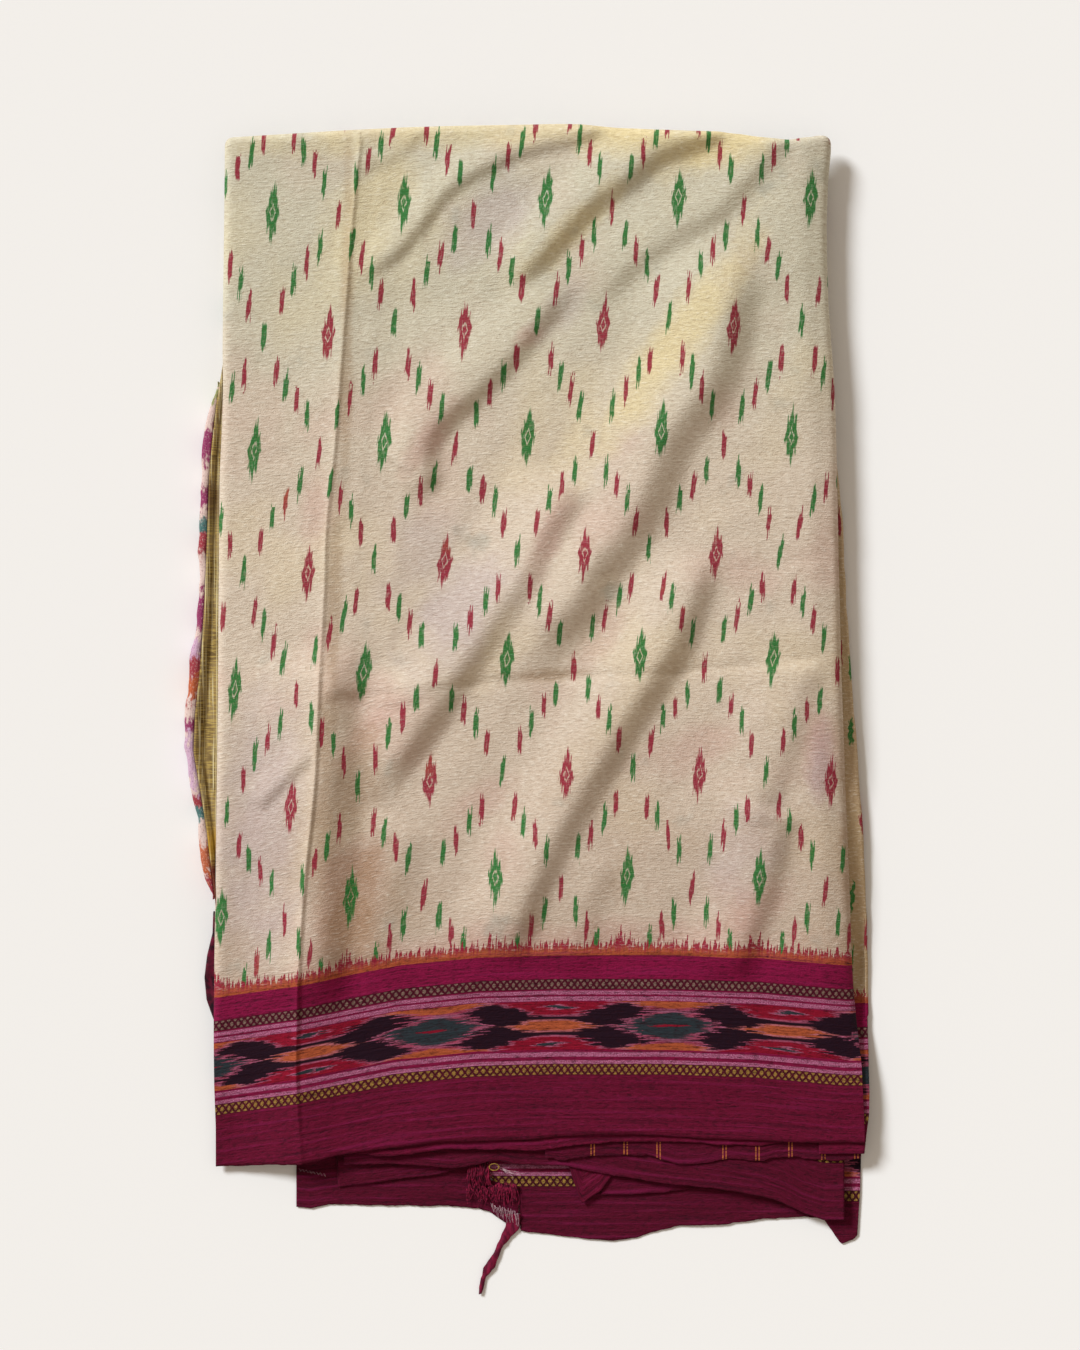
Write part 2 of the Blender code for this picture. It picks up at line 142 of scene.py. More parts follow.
def noise(x, y, seed=0):
    """Smooth noise from -1 to 1, one step per unit."""
    ix, iy = np.floor(x), np.floor(y)
    fx, fy = x - ix, y - iy
    fx, fy = fx * fx * (3 - 2 * fx), fy * fy * (3 - 2 * fy)
    low = lattice(ix, iy, seed) * (1 - fx) + lattice(ix + 1, iy, seed) * fx
    high = lattice(ix, iy + 1, seed) * (1 - fx) + lattice(ix + 1, iy + 1, seed) * fx
    return 2.0 * (low * (1 - fy) + high * fy) - 1.0


def curve(points, count):
    """Smooth line through points, as an array."""
    p = np.array(points, float)
    p = np.vstack([2 * p[0] - p[1], p, 2 * p[-1] - p[-2]])
    place = np.linspace(0.0, len(points) - 1.0, count)
    i = np.minimum(place.astype(int), len(points) - 2)
    t = (place - i)[:, None]
    a, b, c, d = p[i], p[i + 1], p[i + 2], p[i + 3]
    return 0.5 * (2 * b + (c - a) * t + (2 * a - 5 * b + 4 * c - d) * t ** 2
                  + (3 * b - a - 3 * c + d) * t ** 3)


def side_of_line(x, y, points):
    """Signed distance from a line listed from its top down, over zero on its right, and share of its run."""
    line = curve(points, 6 * len(points))
    best = np.full(x.shape, 1e9)
    side = np.zeros(x.shape)
    share = np.zeros(x.shape)
    for k in range(len(line) - 1):
        (ax, ay), (bx, by) = line[k], line[k + 1]
        dx, dy = bx - ax, by - ay
        t = np.clip(((x - ax) * dx + (y - ay) * dy) / (dx * dx + dy * dy), 0.0, 1.0)
        px, py = x - ax - dx * t, y - ay - dy * t
        far = np.hypot(px, py)
        near = far < best
        best = np.where(near, far, best)
        side = np.where(near, np.sign(dx * py - dy * px), side)
        share = np.where(near, (k + t) / (len(line) - 1), share)
    return best * side, share


# ---------------------------------------------------------------- reading a form from the frame
class Form:
    """Outline and top face of one part of the frame, in millimetres."""

    def __init__(self, node):
        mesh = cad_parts[node].data
        self.points = np.array([v.co for v in mesh.vertices]) / MM
        edges = np.array([e.vertices[:] for e in mesh.edges])
        self.a, self.b = self.points[edges[:, 0]], self.points[edges[:, 1]]
        faces = [tuple(p.vertices) for p in mesh.polygons]
        self.tree = BVHTree.FromPolygons([Vector(p) for p in self.points], faces)
        self.low, self.high = self.points.min(0), self.points.max(0)

    def cut(self, axis, place, wanted):
        """Least and most of one coordinate where a plane across another cuts the form."""
        a, b = self.a[:, axis], self.b[:, axis]
        crossing = (np.minimum(a, b) <= place) & (np.maximum(a, b) >= place) & (a != b)
        t = (place - a[crossing]) / (b[crossing] - a[crossing])
        at = self.a[crossing, wanted] * (1 - t) + self.b[crossing, wanted] * t
        return at.min(), at.max()

    def table(self, axis, wanted, count=240):
        """Least and most of a coordinate, read all the way along another."""
        places = np.linspace(self.low[axis] + 0.05, self.high[axis] - 0.05, count)
        spans = np.array([self.cut(axis, place, wanted) for place in places])
        return places, spans[:, 0], spans[:, 1]

    def top(self, x, y):
        """Height of the top face at arrays of places, and their mean height where it has none."""
        out = np.full(x.shape, np.nan)
        for index in np.ndindex(x.shape):
            hit = self.tree.ray_cast(Vector((x[index], y[index], 100.0)), Vector((0, 0, -1)))
            out[index] = hit[0].z if hit[0] else np.nan
        return np.where(np.isnan(out), np.nanmean(out), out)


def blur(grid, width):
    """Grid smoothed over a number of steps both ways."""
    reach = int(3 * width)
    weights = np.exp(-0.5 * (np.arange(-reach, reach + 1) / width) ** 2)
    weights /= weights.sum()
    for _ in range(2):
        padded = np.pad(grid, ((reach, reach), (0, 0)), mode="reflect", reflect_type="odd")
        grid = np.array([np.convolve(c, weights, "valid") for c in padded.T])
    return grid


# ---------------------------------------------------------------- cloth coordinates
PATTERN_ROW = 147.3         # height above the hem of the lowest row of green motifs
BAND_TOP = 102.0            # height above the hem of the top of the magenta band
LEAN = [(-258, 38), (-98, 29.2), (26, 22.1), (154, 10.6), (288, 0), (330, -3)]
COLUMNS = [(-217, -1), (-141.9, 0), (-69.1, 1), (11.5, 2), (85.4, 3), (159.8, 4), (235, 5)]
BAND_LINE = [(-180, -162.5), (-159, -159.3), (-128, -154.3), (-71, -143), (-26, -138.5), (19, -137.3),
             (81, -137.3), (132, -139), (182, -143.5)]
FLAT_LINE = [(-180, -150.5), (-110, -145.5), (-60, -143.5), (0, -141.5), (80, -141.0), (150, -142.5)]
ROW_STRETCH = [(-60, -60), (0, 0), (102, 102), (147.3, 147.3), (271.9, 275.8), (399, 404.3),
               (533, 532.8), (640, 640)]


def cloth_place(x, y):
    """Cloth coordinates (u, v) of places on the front panel, in millimetres."""
    lean = read(LEAN, y)
    u = read(COLUMNS, x + lean) * sizes().repeat_across / MM
    over = x + lean - 31.5
    calm = smooth(-60, 160, y)
    v = BAND_TOP + y - read(BAND_LINE, over) * (1 - calm) - read(FLAT_LINE, over) * calm
    return u, read(ROW_STRETCH, v)


# ---------------------------------------------------------------- mesh making
def make_mesh(name, points, faces, uvs=None):
    """Mesh object from points in millimetres and cloth coordinates in millimetres."""
    mesh = bpy.data.meshes.new(name)
    mesh.from_pydata((np.asarray(points, float) * MM).tolist(), [], faces)
    if uvs is not None:
        layer = mesh.uv_layers.new(name=UV_NAME)
        corners = np.zeros(len(mesh.loops), np.int32)
        mesh.loops.foreach_get("vertex_index", corners)
        layer.data.foreach_set("uv", (np.asarray(uvs, float)[corners] * MM).ravel())
    mesh.shade_smooth()
    obj = bpy.data.objects.new(name, mesh)
    bpy.context.scene.collection.objects.link(obj)
    return obj


def grid_faces(rows, columns):
    """Faces of a grid of points."""
    r, c = np.meshgrid(np.arange(rows - 1), np.arange(columns - 1), indexing="ij")
    a = (r * columns + c).ravel()
    return np.stack([a, a + 1, a + 1 + columns, a + columns], 1).tolist()


def lay_cloth(name, x, y, z, u, v, material):
    """Thin shell of cloth whose top face runs through a grid of points."""
    points = np.stack([x, y, z], -1).reshape(-1, 3)
    uvs = np.stack([u, v], -1).reshape(-1, 2)
    obj = make_mesh(name, points, grid_faces(*x.shape), uvs)
    shell = obj.modifiers.new("Silk", "SOLIDIFY")
    shell.thickness = sizes().silk_thickness
    shell.offset = -1.0
    obj.data.materials.append(material)
    return obj


THREAD_SIDES = 5


def tubes(name, paths, radius, material):
    """Threads joined as one mesh. Each path is (points, radius share at its two ends)."""
    points, faces, uvs = [], [], []
    for path, (first, last) in paths:
        path = np.asarray(path, float)
        ahead = np.gradient(path, axis=0)
        ahead /= np.linalg.norm(ahead, axis=1)[:, None] + 1e-9
        up = np.tile([0.0, 0.0, 1.0], (len(path), 1))
        across = np.cross(ahead, up)
        flat = np.linalg.norm(across, axis=1) < 1e-3
        across[flat] = (1.0, 0.0, 0.0)
        across /= np.linalg.norm(across, axis=1)[:, None]
        up = np.cross(across, ahead)
        start = len(points)
        for k, p in enumerate(path):
            share = k / (len(path) - 1)
            size = radius * (first * (1 - share) + last * share)
            for s in range(THREAD_SIDES):
                turn = 2 * math.pi * s / THREAD_SIDES
                points.append(p + size * (math.cos(turn) * across[k] + math.sin(turn) * up[k]))
                uvs.append(p[:2])
        for k in range(len(path) - 1):
            for s in range(THREAD_SIDES):
                a, b = start + k * THREAD_SIDES + s, start + k * THREAD_SIDES + (s + 1) % THREAD_SIDES
                faces.append((a, a + THREAD_SIDES, b + THREAD_SIDES, b))
        faces.append(tuple(start + s for s in range(THREAD_SIDES)))
        end = start + (len(path) - 1) * THREAD_SIDES
        faces.append(tuple(end + s for s in reversed(range(THREAD_SIDES))))
    obj = make_mesh(name, points, faces, uvs)
    obj.data.materials.append(material)
    return obj


def finish_piece(obj, nodes=()):
    """Attach a piece to the root body, and hide the frame's parts that it stands for."""
    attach(obj, "root")
    if nodes:
        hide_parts(*nodes)


# ---------------------------------------------------------------- shader arithmetic
class Term:
    """Socket of a shader tree that can be added, multiplied and compared in formulas."""

    def __init__(self, tree, socket):
        self.tree, self.socket = tree, socket

    def math(self, operation, *others, clamp=False):
        node = self.tree.nodes.new("ShaderNodeMath")
        node.operation = operation
        node.use_clamp = clamp
        for slot, value in zip(node.inputs, (self, *others)):
            if isinstance(value, Term):
                self.tree.links.new(value.socket, slot)
            else:
                slot.default_value = value
        return Term(self.tree, node.outputs[0])

    def __add__(self, other):
        return self.math("ADD", other)

    def __sub__(self, other):
        return self.math("SUBTRACT", other)

    def __mul__(self, other):
        return self.math("MULTIPLY", other)

    def __truediv__(self, other):
        return self * (1.0 / other)

    __radd__ = __add__
    __rmul__ = __mul__

    def __rsub__(self, other):
        return self * -1.0 + other

    def __abs__(self):
        return self.math("ABSOLUTE")

    def floor(self):
        return self.math("FLOOR")

    def least(self, other):
        return self.math("MINIMUM", other)

    def most(self, other):
        return self.math("MAXIMUM", other)

    def fold(self, half):
        """Mirror-repeat: 0 at the origin, half at half a repeat."""
        return self.math("PINGPONG", half)

    def sharp(self, steepness):
        """0 below nought, 1 above, with a soft edge."""
        return (self * steepness).math("ADD", 0.5, clamp=True)

    def step(self, low, high):
        node = self.tree.nodes.new("ShaderNodeMapRange")
        node.interpolation_type = "SMOOTHSTEP"
        self.tree.links.new(self.socket, node.inputs["Value"])
        node.inputs["From Min"].default_value = low
        node.inputs["From Max"].default_value = high
        return Term(self.tree, node.outputs["Result"])


SHEEN = 0.03
SHEEN_ROUGHNESS = 0.4
SILK_SPECULAR = 0.13


class Dye:
    """Shader tree of one material, with noises in cloth coordinates and colours laid over each other."""

    def __init__(self, name):
        self.material = bpy.data.materials.new(name)
        self.material.use_nodes = True
        self.tree = self.material.node_tree
        self.shader = self.tree.nodes["Principled BSDF"]
        node = self.tree.nodes.new("ShaderNodeUVMap")
        node.uv_map = UV_NAME
        split = self.tree.nodes.new("ShaderNodeSeparateXYZ")
        self.tree.links.new(node.outputs["UV"], split.inputs[0])
        self.u = Term(self.tree, split.outputs[0]) / MM
        self.v = Term(self.tree, split.outputs[1]) / MM

    def vector(self, x, y, z=0.0):
        node = self.tree.nodes.new("ShaderNodeCombineXYZ")
        for slot, value in zip(node.inputs, (x, y, z)):
            if isinstance(value, Term):
                self.tree.links.new(value.socket, slot)
            else:
                slot.default_value = value
        return node.outputs[0]

    def noise(self, x, y, detail=2.0, z=0.0, rough=0.5):
        """Cloudy noise from 0 to 1, one step per unit of x and y."""
        node = self.tree.nodes.new("ShaderNodeTexNoise")
        node.inputs["Scale"].default_value = 1.0
        node.inputs["Detail"].default_value = detail
        node.inputs["Roughness"].default_value = rough
        self.tree.links.new(self.vector(x, y, z), node.inputs["Vector"])
        return Term(self.tree, node.outputs[0])

    def random(self, x, y=0.0, z=0.0):
        """Random number from 0 to 1 for each whole-number place."""
        node = self.tree.nodes.new("ShaderNodeTexWhiteNoise")
        node.noise_dimensions = "3D"
        self.tree.links.new(self.vector(x, y, z), node.inputs["Vector"])
        return Term(self.tree, node.outputs["Value"])

    def cloud(self, along, up, detail=2.0, z=0.0, rough=0.5):
        """Cloudy noise over the cloth, in steps per millimetre along it and up it."""
        return self.noise(self.u * along, self.v * up, detail, z, rough)

    def over(self, base, top, mask):
        """Colour top laid over base where mask is 1."""
        node = self.tree.nodes.new("ShaderNodeMix")
        node.data_type = "RGBA"
        self.tree.links.new(mask.socket, node.inputs[0])
        for slot, value in ((node.inputs[6], base), (node.inputs[7], top)):
            if isinstance(value, bpy.types.NodeSocket):
                self.tree.links.new(value, slot)
            else:
                slot.default_value = (*value, 1.0)
        return node.outputs[2]

    def lay(self, shade, *layers):
        """Colours laid over each other in turn, each given as (colour, mask)."""
        for tone, mask in layers:
            shade = self.over(shade, tone, mask)
        return shade

    def finish(self, base, height, roughness, bump, depth):
        """Connect colour, roughness and a relief of some strength and depth."""
        self.tree.links.new(base, self.shader.inputs["Base Color"])
        self.tree.links.new(roughness.socket, self.shader.inputs["Roughness"])
        self.shader.inputs["Sheen Weight"].default_value = SHEEN
        self.shader.inputs["Sheen Roughness"].default_value = SHEEN_ROUGHNESS
        self.shader.inputs["Specular IOR Level"].default_value = SILK_SPECULAR
        node = self.tree.nodes.new("ShaderNodeBump")
        node.inputs["Strength"].default_value = bump
        node.inputs["Distance"].default_value = depth
        self.tree.links.new(height.socket, node.inputs["Height"])
        self.tree.links.new(node.outputs[0], self.shader.inputs["Normal"])
        return self.material


# ---------------------------------------------------------------- the weave
def ribs(dye):
    """Raw silk: thick and thin weft running along the sari, over a fine warp."""
    weft = dye.cloud(0.24, 0.95, 3.0, rough=0.65)
    slub = dye.cloud(0.03, 0.5, 1.0, z=7.0)
    warp = dye.cloud(1.6, 0.05, 1.0, z=3.0)
    return weft, slub, warp


def dash(da, db, half_width, half_length):
    """Mask of one ikat dash: a few warp threads, the middle ones dyed furthest."""
    side = 1.0 - da / half_width
    end = 1.0 - db / half_length - da * (0.26 / half_width)
    return (side * 3.6).least(end * 4.5).math("ADD", 0.3, clamp=True)


def diamond(da, db, calm, half_width, half_length):
    """Mask of one stepped ikat diamond with long tips and a pale ring round its heart."""
    body = (1.0 - da / half_width - db / half_length) * 7.0
    waist = (1.0 - da / (0.62 * half_width)).least(1.0 - db / (0.72 * half_length)) * 5.0
    tip = dash(da, db, 1.3, half_length * 1.2)
    ring = da / (0.50 * half_width) + calm / (0.42 * half_length)
    pale = ((0.16 - abs(ring - 0.74)) * 9.0).math("ADD", 0.1, clamp=True)
    return body.most(waist).math("ADD", 0.3, clamp=True).most(tip) - pale * 0.75


# One repeat of the field, from a green diamond: (share of the repeat across, height, green, diamond)
FIELD_CHART = [
    (0.0, 0.0, True, True), (0.5, -6.0, False, False),
    (0.38, 15.0, True, False), (0.38, -21.0, True, False),
    (0.29, 24.0, False, False), (0.29, -29.4, False, False),
    (0.20, 33.2, True, False), (0.20, -37.4, True, False),
    (0.12, 40.8, False, False), (0.12, -50.0, False, False),
    (0.0, 62.2, True, False), (0.5, 59.0, False, True),
]


WARP_STRAND = 0.6           # width of one strand that was tied and dyed as one
DIAMOND_HALF_WIDTH = 4.4
DIAMOND_HALF_LENGTH = {True: 14.2, False: 13.0}     # of a green one and of a crimson one
DASH_HALF_WIDTH = 1.4
DASH_HALF_LENGTH = {True: 8.0, False: 7.8}


def field_motifs(dye):
    """Masks of the green and the crimson motifs."""
    across = sizes().repeat_across / MM
    up = sizes().repeat_up / MM
    row = ((dye.v - PATTERN_ROW) * (2.0 / up) + 0.5).floor()
    strand = (dye.u / WARP_STRAND).floor()
    pull = dye.random(strand, row) - 0.5
    drift = dye.cloud(0.02, 0.02, 1.0, z=11.0) - 0.5
    sway = dye.cloud(0.13, 0.11, 1.0, z=5.0) - 0.5
    swell = 1.0 + (dye.cloud(0.05, 0.05, 1.0, z=19.0) - 0.5) * 0.7
    a = (dye.u + drift * 4.0 + sway * 1.2).fold(across / 2)
    steady = dye.v + drift * 4.0 - PATTERN_ROW
    masks = {True: None, False: None}
    for share, rise, is_green, is_diamond in FIELD_CHART:
        da = abs(a - share * across)
        calm = (steady - rise).fold(up / 2)
        if is_diamond:
            db = (steady + pull * 5.6 - rise).fold(up / 2)
            heart = (steady + pull * 1.6 - rise).fold(up / 2)
            mark = diamond(da, db, heart, DIAMOND_HALF_WIDTH, DIAMOND_HALF_LENGTH[is_green])
        else:
            db = (steady + pull * 6.6 - rise).fold(up / 2)
            mark = dash(da * swell, db.most(calm - 3.0), DASH_HALF_WIDTH, DASH_HALF_LENGTH[is_green])
        masks[is_green] = mark if masks[is_green] is None else masks[is_green].most(mark)
    return masks[True], masks[False]


def spot(a, b, a0, b0, half_length, half_height):
    """Over 0 inside a lens-shaped ikat spot, below 0 outside."""
    da = abs(a - a0) / half_length
    db = abs(b - b0) / half_height
    return 1.0 - (da * da + db * db).math("SQRT") * 0.45 - (da + db) * 0.55


GREY_LENS = 123.0           # u of the middle of one grey lens of the ikat band
BAND_MIDDLE = 62.0
BAND_REACH = 13.7           # half height of the ikat band
IKAT_TOP = 76.2             # height of the woven band that carries the ikat band
WEFT_PICK = 0.55            # height of one weft thread of the ikat band


def ikat_band(dye, base):
    """The border's ikat band, mirrored about its middle and along its length."""
    c = dyes()
    half = sizes().band_repeat / MM / 2
    pick = (dye.v / WEFT_PICK).floor()
    pull = dye.random(pick, (dye.u / 60.0).floor(), 3.0) - 0.5
    fringe = dye.cloud(0.34, 2.4, z=9.0, rough=0.7) - 0.5
    wander = dye.cloud(0.05, 0.10, 1.0, z=12.0) - 0.5
    a = (dye.u + pull * 11.0 + fringe * 15.0 + wander * 6.0 - GREY_LENS).fold(half)
    b = abs(dye.v - BAND_MIDDLE + wander * 1.2)
    inside = (BAND_REACH - b).sharp(3.0)
    shade = dye.over(base, c.red, inside)
    line = (a - 12.0).step(0.0, 40.0)
    lobe_middle = 8.4 - line * 3.9
    thick = (a - 9.0).step(0.0, 22.0) * (1.0 - (a - 34.0).step(0.0, 24.0) * 0.86)
    lobe = thick * 1.24 - abs(b - lobe_middle) / 5.0
    wedge = spot(a, b, 0.0, 13.9, 31.0, 4.4)
    grey = spot(a, b, 0.0, 0.6, 25.0, 7.8)
    orange = spot(a, b, half, 0.0, 34.0, 4.7)
    fleck = spot(a, b, half + 2.0, 10.4, 9.0, 1.5)
    heart = spot(a, b, 0.0, 0.0, 10.0, 0.9)
    rims = 0.5 + dye.cloud(0.25, 2.2, 1.0, z=14.0)
    for mark, tint, rim in ((wedge, c.orange, 0.07), (fleck, c.slate, 0.3), (grey, c.slate, 0.09),
                            (heart, c.red, 0.0), (orange, c.orange, 0.1), (lobe, c.black, 0.14)):
        if rim:
            halo = (mark + rims * rim).sharp(5.0) * (1.0 - mark.sharp(5.0))
            shade = dye.over(shade, c.pink, halo.least(inside) * 0.6)
        shade = dye.over(shade, tint, mark.sharp(7.0).least(inside))
    return shade


def metal_lattice(dye, low, high, period, dark):
    """Mask of a trellis of metal thread between two heights."""
    middle, half = (low + high) / 2, (high - low) / 2
    place = dye.u / period
    rise = (dye.v - middle) / (2.0 * half)
    grain = dye.cloud(0.9, 1.6, z=2.0) - 0.5
    one = (place + rise + grain * 0.3).fold(0.5)
    two = (place - rise + grain * 0.3).fold(0.5)
    cross = one.least(two)
    heart = abs(one - two) + abs(one + two - 0.5)
    open_weave = (cross - dark).sharp(12.0) * (heart - 0.13).sharp(12.0)
    broken = (dye.cloud(2.6, 2.2, 1.0, z=16.0) - 0.42).sharp(6.0)
    return open_weave * broken * (half - abs(dye.v - middle)).sharp(4.0)


# Stains of the front stretch, and painted shade along its creases and right edge: (x, y, half length, half
# width, degrees it leans, strength), by tone
YELLOW_STAINS = [
    (10, 330, 195, 13, 1, 0.55), (112, 322, 52, 17, 20, 0.9), (58, 328, 36, 18, 0, 0.9),
    (82, 205, 88, 15, 55, 0.7), (26, 270, 38, 9, 45, 0.6), (-90, 282, 44, 22, 60, 0.45),
    (30, 150, 30, 14, 50, 0.35),
]
PINK_STAINS = [
    (-54, 153, 24, 9, 55, 0.6), (2, 211, 10, 6, 30, 0.5), (13, 100, 28, 9, 70, 0.6),
    (-117, 114, 24, 12, 90, 0.5), (-88, -10, 24, 12, 50, 0.6), (-100, -106, 40, 22, 90, 0.9),
    (126, -118, 30, 16, 50, 0.75), (0, -131, 200, 13, 2, 0.7), (-26, -50, 28, 12, 40, 0.45),
    (92, -22, 34, 14, 20, 0.5), (165, -22, 30, 11, 95, 1.0), (40, 40, 30, 10, 60, 0.35),
]
LILAC_STAINS = [
    (-38, 57, 44, 24, 60, 0.6), (-21, 277, 34, 22, 40, 0.55), (-150, -70, 90, 28, 90, 0.65),
    (120, -78, 36, 22, 60, 0.5), (19, 226, 20, 12, 50, 0.35), (-60, 91, 34, 20, 60, 0.4),
    (165, -30, 26, 9, 90, 0.6),
]
# Painted shade beside the pressed creases and along the right edge, partly dirt
CREASE_SHADE_AND_DIRT = [
    (-101, 215, 120, 4.5, 94, 0.45), (-108, 60, 90, 5, 94, 0.45), (-113, -60, 110, 9, 92, 0.5),
    (183, -70, 110, 8, 94, 0.7), (13, 20, 26, 5, 3, 0.5), (-98, -112, 44, 24, 90, 0.75),
    (-98, -40, 46, 17, 88, 0.5), (178, 80, 150, 5, 93, 0.4),
]


def stained(dye, stains, ragged):
    """Mask of a set of patches with cloudy outlines: dye stains, and painted shade for the crease set."""
    place = dye.vector(dye.u, dye.v)
    edge = ragged + 1.15
    total = None
    for x, y, half_length, half_width, lean, strength in stains:
        u, v = (float(part) for part in cloth_place(np.array(float(x)), np.array(float(y))))
        node = dye.tree.nodes.new("ShaderNodeMapping")
        node.vector_type = "TEXTURE"
        node.inputs["Location"].default_value = (u, v, 0.0)
        node.inputs["Rotation"].default_value = (0.0, 0.0, math.radians(lean))
        node.inputs["Scale"].default_value = (half_length, half_width, 1.0)
        length = dye.tree.nodes.new("ShaderNodeVectorMath")
        length.operation = "LENGTH"
        dye.tree.links.new(place, node.inputs["Vector"])
        dye.tree.links.new(node.outputs[0], length.inputs[0])
        reach = Term(dye.tree, length.outputs["Value"])
        mask = (edge - reach).math("MULTIPLY", 1.3, clamp=True) * strength
        total = mask if total is None else total.most(mask)
    return total


MOST_DYE = 0.96             # how far the deepest dye covers the ground
FEATHER_STRAND = 0.62       # width of one strand at the feathered edge
FEATHER_START = 105.0


def raw_field(dye, kind):
    """Colour of the field down to the feathered edge of the border, and the mask of its motifs."""
    c = dyes()
    u, v = dye.u, dye.v
    ragged = (dye.cloud(0.05, 0.045, 3.0, z=33.0) - 0.5) * 1.3
    cloud = dye.cloud(0.016, 0.013, z=21.0)
    ground = dye.lay(
        c.cream,
        (colour(210, 204, 182), v.step(360.0, 500.0)),
        (c.straw, cloud.step(0.5, 0.7) * 0.22),
        (c.mauve, cloud.step(0.48, 0.3) * (0.42 - v.step(250.0, 600.0) * 0.25)))
    if kind == "outer":
        ground = dye.lay(
            ground,
            (c.straw, stained(dye, YELLOW_STAINS, ragged)),
            (c.mauve, stained(dye, PINK_STAINS, ragged) * 0.95),
            (colour(190, 174, 178), stained(dye, LILAC_STAINS, ragged) * 0.85),
            # painted shade along the creases and the right edge, partly dirt
            (colour(160, 126, 86), stained(dye, CREASE_SHADE_AND_DIRT, ragged) * 0.9))
    # Painted shade over the lower field, strongest just above the border and gone by v 330, partly dirt
    lower_shade_and_dirt = (1.0 - v.step(110.0, 330.0)) * (0.2 + cloud.step(0.4, 0.6) * 0.25)
    ground = dye.over(ground, colour(176, 148, 132), lower_shade_and_dirt)
    # Painted shade with some yellowed dirt over the ground of the tucked side stretch
    if kind == "aged":
        ground = dye.over(ground, colour(176, 146, 98), 0.62 + cloud * 0.2)
    blue_stain = dye.cloud(0.035, 0.03, 3.0, z=41.0)
    ground = dye.over(ground, colour(150, 156, 148), blue_stain.step(0.62, 0.76) * 0.4)

    green, red = field_motifs(dye)
    fade = dye.cloud(0.4, 0.16, z=13.0)
    thread_fade = dye.cloud(1.1, 0.25, 1.0, z=15.0)
    wear = 0.62 + fade * 0.4 + thread_fade.step(0.35, 0.55) * 0.3
    redder = dye.over(c.crimson, c.orange, dye.cloud(0.03, 0.03, z=17.0).step(0.6, 0.8) * 0.6)
    ground = dye.lay(ground, (c.green, (green * wear).least(MOST_DYE)),
                     (redder, (red * wear).least(MOST_DYE)))

    # feathered edge of the border
    across = sizes().repeat_across / MM
    strand = (u / FEATHER_STRAND).floor()
    lift = dye.random(strand, 5.0)
    clump = dye.noise(u * 0.5, 0.0, 2.0, z=4.0)
    crest = (1.0 - u.fold(across / 2) / 9.0).most(0.0)
    edge = FEATHER_START + lift * 4.5 + clump.step(0.42, 0.68) * 4.6 + crest * (1.5 + lift * 6.0)
    spikes = (edge - v).sharp(1.2)
    tint = (v + lift * 3.5).step(104.5, 110.5)
    feather = dye.over(c.orange, c.crimson, tint)
    return dye.over(ground, feather, spikes), green.most(red)


# Woven bands from the top of the border down: (height of the band's top, tone)
BANDS = [
    (BAND_TOP, "magenta"), (88.6, "deep"), (82.6, "purple"), (81.8, "pink"), (79.7, "purple"),
    (78.6, "pink"), (IKAT_TOP, "purple"), (47.6, "purple"), (47.0, "pink"), (44.4, "purple"),
    (42.4, "pink"), (40.4, "deep"), (34.0, "plain"),
]
GOLD_TRELLIS = (34.4, 39.9, 3.9, 0.16)      # bottom, top, repeat, and how open it is
DULL_TRELLIS = (83.0, 88.2, 3.7, 0.17)
STRIPE_START = 37.4         # u of the first pair of gold lines
STRIPE_GAP = 18.65          # distance between two pairs


